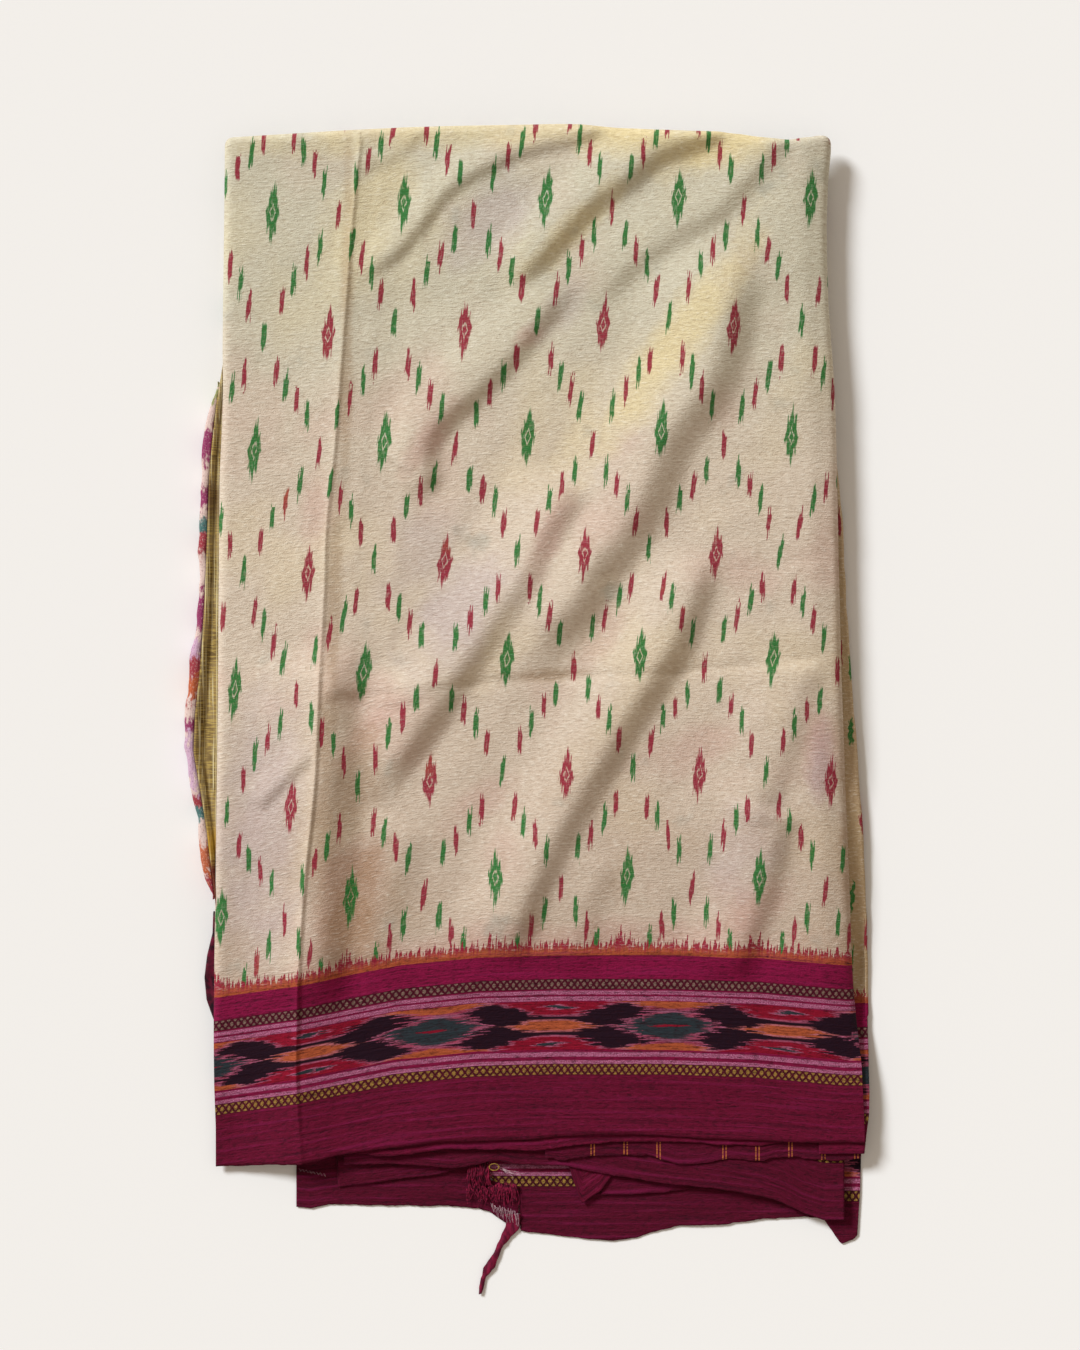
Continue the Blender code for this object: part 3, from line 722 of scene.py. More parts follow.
def sari_silk(kind="outer"):
    """Material of the whole length: field above, border below, all from cloth coordinates.

    kind is outer; aged for the tucked side stretch, whose ground takes painted shade with some yellowed dirt;
    inner for the hidden hems, whose maroon is darkened as painted shade; or gold_lines, a hidden hem darkened
    the same way, with gold lines.
    """
    name = "sari_silk_" + kind
    if name in bpy.data.materials:
        return bpy.data.materials[name]
    c = dyes()
    dye = Dye(name)
    u, v = dye.u, dye.v
    weft, slub, warp = ribs(dye)

    shows_field = kind in ("outer", "aged")
    shade, dyed = raw_field(dye, kind) if shows_field else (c.magenta, None)

    wavering = v + (weft - 0.5) * 0.35
    # On the hidden hems the plain maroon, and the deep maroon taken from it, is darkened to 0.72 as painted
    # shade
    plain = [(1.0 if shows_field else 0.72) * k for k in c.maroon]
    purple = [0.85 * k for k in c.magenta]
    tones = {"magenta": c.magenta, "pink": c.pink, "purple": purple, "plain": plain,
             "deep": [0.55 * k for k in plain]}
    for height, tone in BANDS:
        shade = dye.over(shade, tones[tone], (height - wavering).sharp(4.0))
        if height == IKAT_TOP:
            shade = ikat_band(dye, shade)
    chain = (dye.cloud(1.5, 2.0, z=6.0) - 0.47).sharp(5.0)
    in_lines = v.step(40.2, 40.8) * (1.0 - v.step(81.4, 82.0)) * (abs(v - BAND_MIDDLE) - 14.2).sharp(4.0)
    bright = metal_lattice(dye, *GOLD_TRELLIS)
    dull = metal_lattice(dye, *DULL_TRELLIS)
    glint = 0.55 + dye.cloud(1.1, 1.4, z=18.0) * 0.6
    shade = dye.lay(shade, (purple, in_lines * chain * 0.75), (c.gold, bright * glint),
                    (c.dull_gold, dull * glint * 0.9))

    if kind == "gold_lines":
        pair = (u - STRIPE_START).fold(STRIPE_GAP / 2)
        line = (0.32 - abs(pair - 0.9)).sharp(7.0) * (u - 26.0).sharp(1.0) * (abs(u - 93.3) - 6.0).sharp(1.0)
        stitches = dye.cloud(0.2, 1.7, 1.0, z=8.0).step(0.3, 0.5)
        shade = dye.over(shade, colour(205, 120, 60), line * stitches * 0.85)

    # slubs: painted shade in the grooves and painted highlight on the ridges along the weft, stronger in the
    # border
    in_border = 1.0 - v.step(103.0, 108.0)
    crepe = dye.noise(u * 0.24 + warp * 0.6, v * 0.55, 3.0, z=23.0, rough=0.7)
    fibre = dye.cloud(1.1, 2.2, z=27.0)
    groove = (weft.step(0.52, 0.34) * (0.34 + in_border * 0.25)
              + slub.step(0.42, 0.2) * (0.05 + in_border * 0.45)
              + crepe.step(0.5, 0.34) * 0.26 + fibre.step(0.5, 0.36) * 0.22)
    # Painted shade in the weave's grooves: brown on the field, near black in the border
    groove_shade_tone = dye.over(colour(150, 116, 84), colour(38, 2, 14), in_border)
    painted_groove_shade = groove * (0.55 + in_border * 0.25)
    # Painted highlight on the raised weft, kept off the border and faint on the motifs
    ridge = (weft.step(0.52, 0.72) * 0.34 + crepe.step(0.55, 0.75) * 0.2) * (1.0 - in_border)
    if dyed:
        painted_groove_shade, ridge = painted_groove_shade * (1.0 - dyed * 0.5), ridge * (1.0 - dyed * 0.7)
    # Painted sheen: brighter magenta on the plain hem below the gold trellis, weaker on every kind but the
    # outer one
    painted_sheen_tone = dye.over(c.magenta, colour(150, 40, 96), weft)
    bright_hem = in_border * (1.0 - v.step(33.0, 35.0))
    painted_sheen = crepe.step(0.52, 0.8) * (0.4 if kind == "outer" else 0.2) * bright_hem
    # Long streaks across the border that carry relief: painted highlight along some and painted shade along
    # others, for fine creases
    streak = dye.cloud(0.014, 0.42, 3.0, z=75.0)
    margin = 1.0 - (v - 34.0).sharp(2.0) * (1.0 - (v - 89.0).sharp(2.0))
    shade = dye.lay(
        shade,
        (groove_shade_tone, painted_groove_shade),
        ((1.0, 0.95, 0.84), ridge),
        (painted_sheen_tone, painted_sheen),
        (colour(150, 30, 92), streak.step(0.5, 0.74) * 0.26 * in_border * margin),
        (colour(34, 2, 22), streak.step(0.46, 0.28) * 0.36 * in_border * margin))
    height = weft + streak * in_border * 1.2 + slub * 0.3 + crepe * 0.6 + fibre * 0.6
    rough = 0.7 + weft * 0.2 - (bright + dull) * 0.25
    return dye.finish(shade, height, rough, 0.85, 0.0008)


# Dye patches of the end piece's curled edge: tone, (height, half length) of each
END_PATCHES = [
    (colour(134, 140, 84), [(190, 8), (178, 5)]),
    (colour(140, 30, 92), [(150, 9), (121, 6), (57, 12), (-8, 4)]),
    (colour(150, 34, 52), [(97, 8), (22, 16), (-52, 5), (-100, 12)]),
    (colour(186, 96, 58), [(14, 7), (-84, 9)]),
    (colour(60, 112, 110), [(105, 4), (-57, 4)]),
    (colour(196, 160, 186), [(-28, 15), (36, 5)]),
]


def pallu_silk(back):
    """End piece: gold floats over loose warp, or its pinkish, dye-stained back."""
    name = "end_piece_back" if back else "end_piece_gold"
    if name in bpy.data.materials:
        return bpy.data.materials[name]
    dye = Dye(name)
    v = dye.v
    weft, _, warp = ribs(dye)
    if back:
        shade = colour(216, 190, 182)
        ragged = (dye.cloud(0.42, 0.22, 3.0, z=51.0) - 0.5) * 4.0
        for tone, places in END_PATCHES:
            for middle, half in places:
                mask = (1.3 - abs(v - middle) / half + ragged).step(0.0, 0.7)
                shade = dye.over(shade, tone, mask * 0.95)
        speck = dye.cloud(1.3, 0.9, z=59.0)
        shade = dye.lay(shade, (colour(232, 214, 206), speck.step(0.54, 0.72) * 0.4),
                        (colour(96, 50, 56), speck.step(0.45, 0.3) * 0.55))
    else:
        dirt = dye.cloud(0.12, 0.05, z=67.0) * 0.6
        shade = dye.lay(
            colour(146, 122, 80),
            (colour(112, 90, 52), dye.cloud(0.1, 0.05, z=61.0).step(0.4, 0.65)),
            (colour(192, 164, 88), dye.cloud(0.16, 1.4, z=63.0).step(0.46, 0.6) * 0.7),
            (colour(216, 202, 158), dye.cloud(1.5, 0.02, 1.0, z=65.0).step(0.54, 0.62) * 0.8),
            (colour(84, 50, 30), (1.2 - abs(v - 119.0) / 14.0).step(0.0, 1.0) * (dirt + 0.3)),
            (colour(196, 150, 40), (1.2 - abs(v + 74.0) / 12.0).step(0.0, 1.0) * (dirt + 0.3)),
            (colour(96, 18, 30), (-86.0 - v + dirt * 14.0).step(0.0, 8.0) * 0.85))
    height = weft * 0.5 + warp * 0.8
    return dye.finish(shade, height, 0.5 + weft * 0.3, 0.7, 0.0006)


def thread_material(name, tone, other, fine=0.6):
    """Thread or crumpled cloth with lighter and darker stretches."""
    if name in bpy.data.materials:
        return bpy.data.materials[name]
    dye = Dye(name)
    shade = dye.over(tone, other, dye.cloud(fine, fine, z=71.0).step(0.35, 0.65))
    fibre = dye.cloud(4.0, 4.0, z=73.0)
    return dye.finish(shade, fibre, 0.55 + fibre * 0.25, 0.5, 0.0002)


# ---------------------------------------------------------------- folds of the front panel, in millimetres
PRESSED_CREASE = [(-93.6, 320), (-97.9, 277), (-101.3, 233), (-104.7, 190), (-108, 147), (-112.5, 105),
                  (-113.7, 71), (-116, 24.5), (-118.2, -30), (-120.5, -57), (-125, -99.5),
                  (-128.4, -148.6), (-129.5, -173), (-130, -210), (-127, -257)]

# Soft folds: line of the steep side, height as a share of the tallest, half width of the steep side
SOFT_FOLDS = [
    ([(114, 331), (103, 322), (75, 311), (58, 297), (41, 286), (24, 269), (5, 249), (-12, 235)], 0.62, 6.5),
    ([(30, 243), (10, 218), (-9, 195), (-29, 176), (-46, 161), (-54, 145), (-53, 130),
      (-70, 118)], 0.60, 7.0),
    ([(44, 330), (33, 322), (2, 314), (-21, 305), (-43, 291), (-57, 274), (-74, 255), (-98, 240)], 0.36, 4.0),
    ([(-56, 330), (-66, 316), (-79, 308), (-94, 304)], 0.16, 4.0),
    ([(150, 326), (140, 314), (126, 297), (109, 280), (86, 266), (58, 246), (36, 222)], 0.36, 6.5),
    ([(127, 268), (123, 238), (117, 204), (106, 178), (87, 153), (77, 128), (70, 114), (61, 97),
      (44, 77), (33, 57), (16, 40), (-2, 8)], 1.0, 12.5),
    ([(34, 132), (24, 114), (10, 91), (2, 74), (-15, 49), (-26, 32), (-40, 12), (-54, -10), (-71, -33),
      (-80, -56)], 0.80, 9.0),
    ([(-44, 14), (-72, 5), (-98, 8), (-115, 9)], 0.26, 4.5),
    ([(108, 88), (100, 68), (89, 40), (72, 12), (58, -10), (41, -39), (24, -67), (10, -95), (0, -122),
      (-9, -150)], 0.86, 9.5),
    ([(164, 28), (157, 6), (149, -22), (138, -50), (128, -70)], 0.40, 9.0),
    ([(150, -56), (144, -74), (136, -106), (127, -130), (120, -156)], 0.62, 8.5),
    ([(-119, -25), (-134, -39), (-151, -57)], 0.3, 3.5),
    ([(-100, 40), (-101, 0), (-102, -40), (-104, -85), (-107, -130), (-110, -180)], 0.95, 12.0),
    ([(-56, -64), (-72, -104), (-84, -150)], 0.34, 11.0),
    ([(50, -84), (36, -120), (30, -150)], 0.24, 10.0),
]

# Pressed lines: (points, height, width over which they die away)
PRESSED_LINES = [
    ([(-113, 8), (-92, 9), (-60, 11), (-15, 17), (35, 20), (71, 21), (100, 24), (143, 28),
      (178, 32)], -1.5, 2.8),
    ([(30, 76), (66, 77), (100, 77), (143, 84), (175, 88)], -0.45, 3.0),
    ([(-80, 322), (-92, 150), (-104, -30)], 0.4, 3.0),
    ([(-55, 325), (-68, 150), (-83, -30)], 0.4, 3.0),
    ([(-138, 60), (-142, 0), (-147, -50)], 0.4, 3.0),
    ([(-146, 320), (-122, 319), (-114, 310), (-98, 305)], 0.6, 3.0),
    ([(-104, -36), (-105, -64), (-107, -95)], -0.6, 3.0),
    ([(-122, 96), (-110, 84), (-98, 80)], 0.6, 3.5),
    ([(-120, 110), (-111, 100), (-101, 99)], -0.6, 3.5),
    ([(-160, -92), (-140, -93), (-128, -100)], -0.9, 5.0),
]


def soft_fold(x, y, points, height, half):
    """Fold with a gentle lit side, a steep far side and a small trough beyond it."""
    distance, share = side_of_line(x, y, points)
    across = distance / half
    rise = smooth(-5.0, -0.9, across)
    fall = smooth(-0.9, 1.0, across)
    back = smooth(1.0, 3.2, across)
    ends = smooth(0.0, 0.12, share) * (1.0 - smooth(0.86, 1.0, share))
    return height * (rise - 1.18 * fall + 0.18 * back) * ends


def pressed_line(x, y, points, height, width):
    """Narrow pressed ridge, or a groove where its height is below nought."""
    distance, share = side_of_line(x, y, points)
    ends = smooth(0.0, 0.1, share) * (1.0 - smooth(0.9, 1.0, share))
    return height * np.exp(-np.abs(distance) / width) * ends


def crease_height(x, y):
    """The long pressed crease: its left side rises to a sharp edge, its right side drops away."""
    distance, _ = side_of_line(x, y, PRESSED_CREASE)
    lower = smooth(40, -50, y)
    tall = sizes().crease_height / MM * (0.8 + 0.55 * lower)
    before, after = np.minimum(distance, 0.0), np.maximum(distance, 0.0)
    left = 0.55 * np.exp(before / 16.0) + 0.45 * np.exp(before / 3.0)
    right = np.exp(-after / (7.0 + 9.0 * lower)) * (1.0 - 0.34 * smooth(0.0, 2.8, distance))
    return tall * np.where(distance > 0, right, left)


def folds(x, y):
    """Height of all folds of the front panel."""
    total = np.zeros(x.shape)
    tallest = sizes().fold_height / MM
    for points, share, half in SOFT_FOLDS:
        total += soft_fold(x, y, points, share * tallest, half)
    for points, height, width in PRESSED_LINES:
        total += pressed_line(x, y, points, height, width)
    total += crease_height(x, y)
    total += 0.8 * noise(x / 46.0, y / 38.0, 1) + 0.28 * noise(x / 17.0 + 3.0, y / 11.0, 2)
    return total + 0.13 * noise(x / 7.5, y / 5.0, 3)


def wavy(place, seed, size=0.35, step=9.0):
    """Small unevenness along an edge."""
    return size * noise(place / step, np.zeros(np.shape(place)) + 0.5, seed)


# ---------------------------------------------------------------- the front panel
RIM = 5.0                   # run and drop of the front panel's turned-down edges
RIM_TURNS = np.cos(np.radians([0, 14, 28, 42, 56, 70]))
FRONT_ROWS = 252
FRONT_COLUMNS = (24, 17, 116)       # left of the pressed crease, on it and right of it
CREASE_SHARE = 0.18         # share of the front grid's columns left of the pressed crease
SIDES_CLEAR = (-238, 318)   # where the outline's sides, top and hem are read, clear of the corners
TOP_CLEAR = (-166, 166)
HEM_CLEAR = (-172, 187)


def rim_places(inside):
    """Places across a sheet with rims: turn at each side (1 at the edge to 0) and share of the inside."""
    count = len(RIM_TURNS)
    flat = np.zeros(len(inside) + count)
    low = np.concatenate([RIM_TURNS, flat])
    high = np.concatenate([flat, RIM_TURNS[::-1]])
    share = np.concatenate([np.zeros(count), inside, np.ones(count)])
    return low, high, share


def beside_crease(share, left, right, y):
    """Place across the front panel, with one column of the grid always on the pressed crease."""
    across, up = np.array(PRESSED_CREASE[::-1], float).T
    crease = np.interp(y, up, across)
    before = left + (crease - left) * share / CREASE_SHARE
    after = crease + (right - crease) * (share - CREASE_SHARE) / (1 - CREASE_SHARE)
    return np.where(share < CREASE_SHARE, before, after)


def within(values, span):
    return (values > span[0]) & (values < span[1])


def front_grid(form):
    """Grid of the front panel: x, y, and how far each point is turned down."""
    y_at, left_at, right_at = form.table(1, 0)
    x_at, hem_at, top_at = form.table(0, 1)
    sides, ends, hems = within(y_at, SIDES_CLEAR), within(x_at, TOP_CLEAR), within(x_at, HEM_CLEAR)
    near, far = CREASE_SHARE - 0.011, CREASE_SHARE + 0.013
    before, on_crease, after = FRONT_COLUMNS
    columns = np.concatenate([np.linspace(0, near, before)[:-1], np.linspace(near, far, on_crease),
                              np.linspace(far, 1, after)[1:]])
    low_turn, high_turn, share_x = rim_places(columns)
    _, top_turn, share_y = rim_places(np.linspace(0, 1, FRONT_ROWS))
    share_y, top_turn = share_y[len(RIM_TURNS):], top_turn[len(RIM_TURNS):]
    turn_left, turn_top = np.meshgrid(low_turn, top_turn)
    turn_right, _ = np.meshgrid(high_turn, top_turn)
    sx, sy = np.meshgrid(share_x, share_y)
    turn_x = np.maximum(turn_left, turn_right)
    longest = np.maximum(np.maximum(turn_x, turn_top), 1e-9)
    bend = np.maximum(np.hypot(turn_x, turn_top) / longest, 1.0)
    in_x, in_y = RIM * (1 - turn_x / bend), RIM * (1 - turn_top / bend)
    x, y = -172.0 + 350.0 * sx, np.zeros(sx.shape)
    for _ in range(4):
        top = np.interp(x, x_at[ends], top_at[ends])
        hem = np.interp(x, x_at[hems], hem_at[hems])
        y = hem * (1 - sy) + (top - RIM) * sy
        y = np.where(turn_top > 0, top - in_y, y)
        left = np.interp(y, y_at[sides], left_at[sides])
        right = np.interp(y, y_at[sides], right_at[sides])
        x = beside_crease(sx, left + RIM, right - RIM, y)
        x = np.where(turn_left > 0, left + in_x, np.where(turn_right > 0, right - in_x, x))
    free = smooth(-204.0, -160.0, y)
    turn = np.maximum(turn_x * np.sqrt(free), turn_top)
    return x, y, turn


def front_base(form, x, y):
    """Smoothed height of the frame's front panel, read clear of its turned-down edges."""
    columns, rows = np.linspace(-166, 180, 60), np.linspace(-236, 318, 94)
    gx, gy = np.meshgrid(columns, rows)
    heights = blur(form.top(gx, gy), 1.6)
    fx = np.clip((x - columns[0]) / (columns[1] - columns[0]), 0, len(columns) - 1.001)
    fy = np.clip((y - rows[0]) / (rows[1] - rows[0]), 0, len(rows) - 1.001)
    ix, iy = fx.astype(int), fy.astype(int)
    tx, ty = fx - ix, fy - iy
    low = heights[iy, ix] * (1 - tx) + heights[iy, ix + 1] * tx
    high = heights[iy + 1, ix] * (1 - tx) + heights[iy + 1, ix + 1] * tx
    return low * (1 - ty) + high * ty


class SARI_OT_front_panel(bpy.types.Operator):
    """Lay the top stretch, with its folds, over the bundle"""

    bl_idname = "sari.front_panel"
    bl_label = "Front Panel"

    def execute(self, context):
        form = Form("front_panel")
        x, y, turn = front_grid(form)
        base = front_base(form, x, y)
        hem_calm = 0.35 + 0.65 * smooth(-250, -205, y)
        y_at, _, right_at = form.table(1, 0)
        from_right = np.interp(y, y_at, right_at) - x
        fall = 2.6 * (1 - smooth(0.0, 17.0, from_right)) * smooth(-225, -150, y)
        height = base + folds(x, y) * (1.0 - 0.75 * turn) * hem_calm - fall
        z = height - RIM * (1 - np.sqrt(1 - turn ** 2))
        y = y + np.where(y < -236, wavy(x, 4, 0.5) + wavy(x, 5, 0.25, 3.0), 0.0)
        u, v = cloth_place(x, y)
        panel = lay_cloth("front_panel_silk", x, y, z, u, v, sari_silk())
        finish_piece(panel, ["front_panel"])
        return {"FINISHED"}


# ---------------------------------------------------------------- the hidden layers
LIPS = 15
LIPS_BOTTOM = 1.7
LIPS_TOP = 13.3
# Section of one lip: (how far in, height as a share of the lip's)
LIP_SECTION = [(11.0, 0.04), (1.1, 0.04), (0.35, 0.16), (0.0, 0.46), (0.35, 0.78), (1.1, 0.9), (11.0, 0.9)]
LIP_POINTS = 260
CORNER_POWER = 0.13         # how square the bundle's corners are: 1 would be an ellipse


def outline(form, count, inset, shift):
    """Rounded outline of a form pulled in by an uneven amount."""
    y_at, left_at, right_at = form.table(1, 0)
    x_at, low_at, top_at = form.table(0, 1)
    angle = 2 * math.pi * np.arange(count) / count
    sx = np.sign(np.cos(angle)) * np.abs(np.cos(angle)) ** CORNER_POWER
    sy = np.sign(np.sin(angle)) * np.abs(np.sin(angle)) ** CORNER_POWER
    sides = within(y_at, (form.low[1] + 8, form.high[1] - 8))
    ends = within(x_at, (form.low[0] + 8, form.high[0] - 8))
    pull = inset + 1.1 * noise(np.cos(angle) * 6.0 + shift, np.sin(angle) * 6.0, int(shift))
    x, y = 172.0 * sx, np.zeros(count)
    for _ in range(4):
        top = np.interp(x, x_at[ends], top_at[ends]) - pull
        low = np.interp(x, x_at[ends], low_at[ends]) + pull
        y = 0.5 * (top + low) + 0.5 * (top - low) * sy
        left = np.interp(y, y_at[sides], left_at[sides]) + pull
        right = np.interp(y, y_at[sides], right_at[sides]) - pull
        x = 0.5 * (left + right) + 0.5 * (right - left) * sx
    return x, y


class SARI_OT_folded_layers(bpy.types.Operator):
    """Stack the folded edges of the hidden layers round the bundle"""

    bl_idname = "sari.folded_layers"
    bl_label = "Folded Layers"

    def execute(self, context):
        form = Form("folded_core")
        points, faces, uvs = [], [], []
        step = (LIPS_TOP - LIPS_BOTTOM) / LIPS
        rings = len(LIP_SECTION)
        for lip in range(LIPS):
            start = len(points)
            for inset, share in LIP_SECTION:
                x, y = outline(form, LIP_POINTS, 0.6 + inset, 3.0 + lip)
                falling = smooth(-206, -60, y)
                base = LIPS_BOTTOM + step * lip
                height = LIPS_BOTTOM + (base - LIPS_BOTTOM + step * share) * (0.45 + 0.55 * falling)
                height = height + 0.25 * noise(x / 16.0, y / 16.0, lip)
                points += np.stack([x, y, np.maximum(height, 1.5)], 1).tolist()
                uvs += np.stack([x + y * 0.2, 330.0 + y * 0.4 + inset], 1).tolist()
            for r in range(rings):
                here, above = start + r * LIP_POINTS, start + (r + 1) % rings * LIP_POINTS
                for k in range(LIP_POINTS):
                    after = (k + 1) % LIP_POINTS
                    faces.append((here + k, here + after, above + after, above + k))
        obj = make_mesh("folded_layers", points, faces, uvs)
        obj.data.materials.append(sari_silk())
        finish_piece(obj, ["folded_core"])
        return {"FINISHED"}


class SARI_OT_back_panel(bpy.types.Operator):
    """Lay the lowest stretch flat on the surface"""

    bl_idname = "sari.back_panel"
    bl_label = "Back Panel"

    def execute(self, context):
        form = Form("back_panel")
        y_at, left_at, right_at = form.table(1, 0)
        x_at, low_at, top_at = form.table(0, 1)
        sides = within(y_at, (form.low[1] + 3, form.high[1] - 12))
        ends = within(x_at, (form.low[0] + 9, form.high[0] - 9))
        sx, sy = np.meshgrid(np.linspace(0, 1, 120), np.linspace(0, 1, 190))
        x, y = -170.0 + 340.0 * sx, np.zeros(sx.shape)
        for _ in range(3):
            low = np.interp(x, x_at[ends], low_at[ends])
            top = np.interp(x, x_at[ends], top_at[ends])
            y = low + (top - low) * sy
            left = np.interp(y, y_at[sides], left_at[sides])
            right = np.interp(y, y_at[sides], right_at[sides])
            x = left * (1 - sx) + right * sx
        edge = np.minimum(np.minimum(sx, 1 - sx) * 340.0, (1 - sy) * 530.0)
        z = 1.05 - 0.35 * (1 - smooth(0, 4, edge)) + 0.12 * noise(x / 20, y / 20, 31)
        back = lay_cloth("back_panel_silk", x, y, z, x + 0.1 * y + 190.0, y + 300.0, sari_silk())
        finish_piece(back, ["back_panel"])
        return {"FINISHED"}


# ---------------------------------------------------------------- stretches tucked in at the sides
FOLD_RUN = 2.6              # how far an outer fold runs out past its flat part
FOLD_TURNS = np.radians(np.linspace(0, 150, 12))[1:]


def rounded_row(xs, zs, y, depth, way):
    """One row of cloth: flat, then turned down round its outer fold, which points right for way 1."""
    x = np.concatenate([xs, xs[-1] + way * FOLD_RUN * np.sin(FOLD_TURNS)])
    z = np.concatenate([zs, zs[-1] - depth * 0.5 * (1 - np.cos(FOLD_TURNS))])
    return np.stack([x, np.full(len(x), y), z], 1)


def coordinates(rows):
    """Grids of x, y and z from rows of points."""
    grid = np.array(rows)
    return grid[..., 0], grid[..., 1], grid[..., 2]


def run_length(x, z):
    """Length of cloth from the start of each row of a grid."""
    steps = np.hypot(np.diff(x, axis=1), np.diff(z, axis=1))
    return np.concatenate([np.zeros((len(x), 1)), np.cumsum(steps, axis=1)], 1)


class SARI_OT_right_under_fold(bpy.types.Operator):
    """Lay the stretch whose outer fold stands out at the right"""

    bl_idname = "sari.right_under_fold"
    bl_label = "Right Under Fold"

    def execute(self, context):
        form = Form("right_under_fold")
        y_at, left_at, right_at = form.table(1, 0)
        rows = np.linspace(form.low[1] + 0.4, form.high[1] - 0.4, 220)
        left, right = np.interp(rows, y_at, left_at), np.interp(rows, y_at, right_at)
        right = right + wavy(rows, 41, 0.5, 12.0)
        slope = np.linspace(0, 1, 22)
        grid = []
        for y, a, b in zip(rows, left, right):
            xs = np.linspace(a, b - FOLD_RUN, len(slope))
            free = float(smooth(-225.0, -150.0, y))
            zs = form.top(xs, np.full(xs.shape, y)) - 4.2 * free * slope
            depth = (zs[-1] - 2.6) * free + 1.1 * (1 - free)
            grid.append(rounded_row(xs, zs, y, depth, 1))
        x, y, z = coordinates(grid)
        z = np.maximum(z + 0.2 * noise(x / 9.0, y / 9.0, 43), 1.2)
        u = x[:, :1] - 81.8 + run_length(x, z)
        fold = lay_cloth("right_under_fold_silk", x, y, z, u, y + 267.5, sari_silk("aged"))
        finish_piece(fold, ["right_under_fold"])
        return {"FINISHED"}


# ---------------------------------------------------------------- hems that step out below
class Layer:
    """One hem layer: its node, the shift of its pattern along the cloth, the seed of its uneven edge,
    what is added to its height where the pattern isn't measured from its own hem, and its kind of silk.
    """

    def __init__(self, node, shift, seed, hem_at=None, kind="inner"):
        self.node, self.shift, self.seed, self.hem_at, self.kind = node, shift, seed, hem_at, kind


HEM_STACK = [
    Layer("second_layer", 128.0, 51, kind="outer"),
    Layer("gold_striped_layer", 0.0, 52, kind="gold_lines"),
    Layer("middle_layer", 60.0, 53),
    Layer("left_corner_layer", 10.0, 54),
    Layer("inner_right_layer", 30.0, 55),
    Layer("turned_corner", 20.0, 56, kind="outer"),
]
FLOOR_STACK = [
    Layer("lowest_left_layer", 90.0, 57),
    Layer("lowest_right_layer", 90.0, 58, hem_at=303.9),
    Layer("right_lower_fold", 90.0, 59, hem_at=312.3),
]


HEM_ROLL = np.radians(np.array([150, 120, 90, 60, 30]))
HEM_RADIUS = 0.5
HEM_COLUMN, HEM_ROW = 1.2, 1.6      # size of one step of a hem's grid


def lay_hem(layer, ragged=0.0):
    """Lay one hem layer: flat, with a rolled hem and a slightly uneven edge."""
    form = Form(layer.node)
    width = form.high[0] - form.low[0]
    columns = max(int(width / HEM_COLUMN), 14)
    x_at, low_at, high_at = form.table(0, 1, 400)
    length = float(form.high[1] - form.low[1])
    rows = max(int(length / HEM_ROW), 10)
    share = np.concatenate([np.zeros(len(HEM_ROLL)), np.linspace(0, 1, rows)])
    x, sy = np.meshgrid(np.linspace(form.low[0] + 0.1, form.high[0] - 0.1, columns), share)
    turn = np.concatenate([HEM_ROLL, np.zeros(rows)])[:, None] + 0 * x
    low, high = np.interp(x, x_at, low_at), np.interp(x, x_at, high_at)
    y = low + (high - low) * sy
    uneven = wavy(x, layer.seed, 0.45, 7.0) + wavy(x, layer.seed + 9, 0.3 + ragged, 1.7)
    y = y + uneven * (1 - smooth(0.0, 0.3, sy))
    y = np.where(turn > 0, y + HEM_RADIUS * (1 - np.sin(turn)), y + np.where(sy == 0, HEM_RADIUS, 0))
    top = form.high[2] - 0.05
    z = top - 0.5 * HEM_RADIUS * (1 - np.cos(turn)) + 0.16 * noise(x / 11.0, y / 8.0, layer.seed + 3)
    z = z + 0.34 * noise(x / 34.0, (y - low) / 2.6, layer.seed + 5)
    v = y + layer.hem_at if layer.hem_at else y - low + 2.0
    obj = lay_cloth(layer.node + "_silk", x, y, z, x + layer.shift, v, sari_silk(layer.kind))
    flat = (max(width, 10.0) * MM, max(length, 10.0) * MM)
    area = (high_at - low_at).mean() * width * MM ** 2
    return obj, flat, max(area, 0.31 * flat[0] * flat[1])


class SARI_OT_hem_layers(bpy.types.Operator):
    """Lay the staggered hems under the front panel"""

    bl_idname = "sari.hem_layers"
    bl_label = "Staggered Hems"

    def execute(self, context):
        for layer in HEM_STACK:
            obj, flat, area = lay_hem(layer, 0.3 if layer.kind == "gold_lines" else 0.0)
            finish_piece(obj, [layer.node])
        return {"FINISHED"}


class SARI_OT_lowest_layers(bpy.types.Operator):
    """Lay the lowest stretch on both sides of the tear, and the fold beside it"""

    bl_idname = "sari.lowest_layers"
    bl_label = "Lowest Stretch"

    def execute(self, context):
        for layer in FLOOR_STACK:
            obj, flat, area = lay_hem(layer)
            finish_piece(obj, [layer.node])
        return {"FINISHED"}


# ---------------------------------------------------------------- end piece at the left
CURL_FOOT = 2.2             # height that the end piece's outer edges come down to


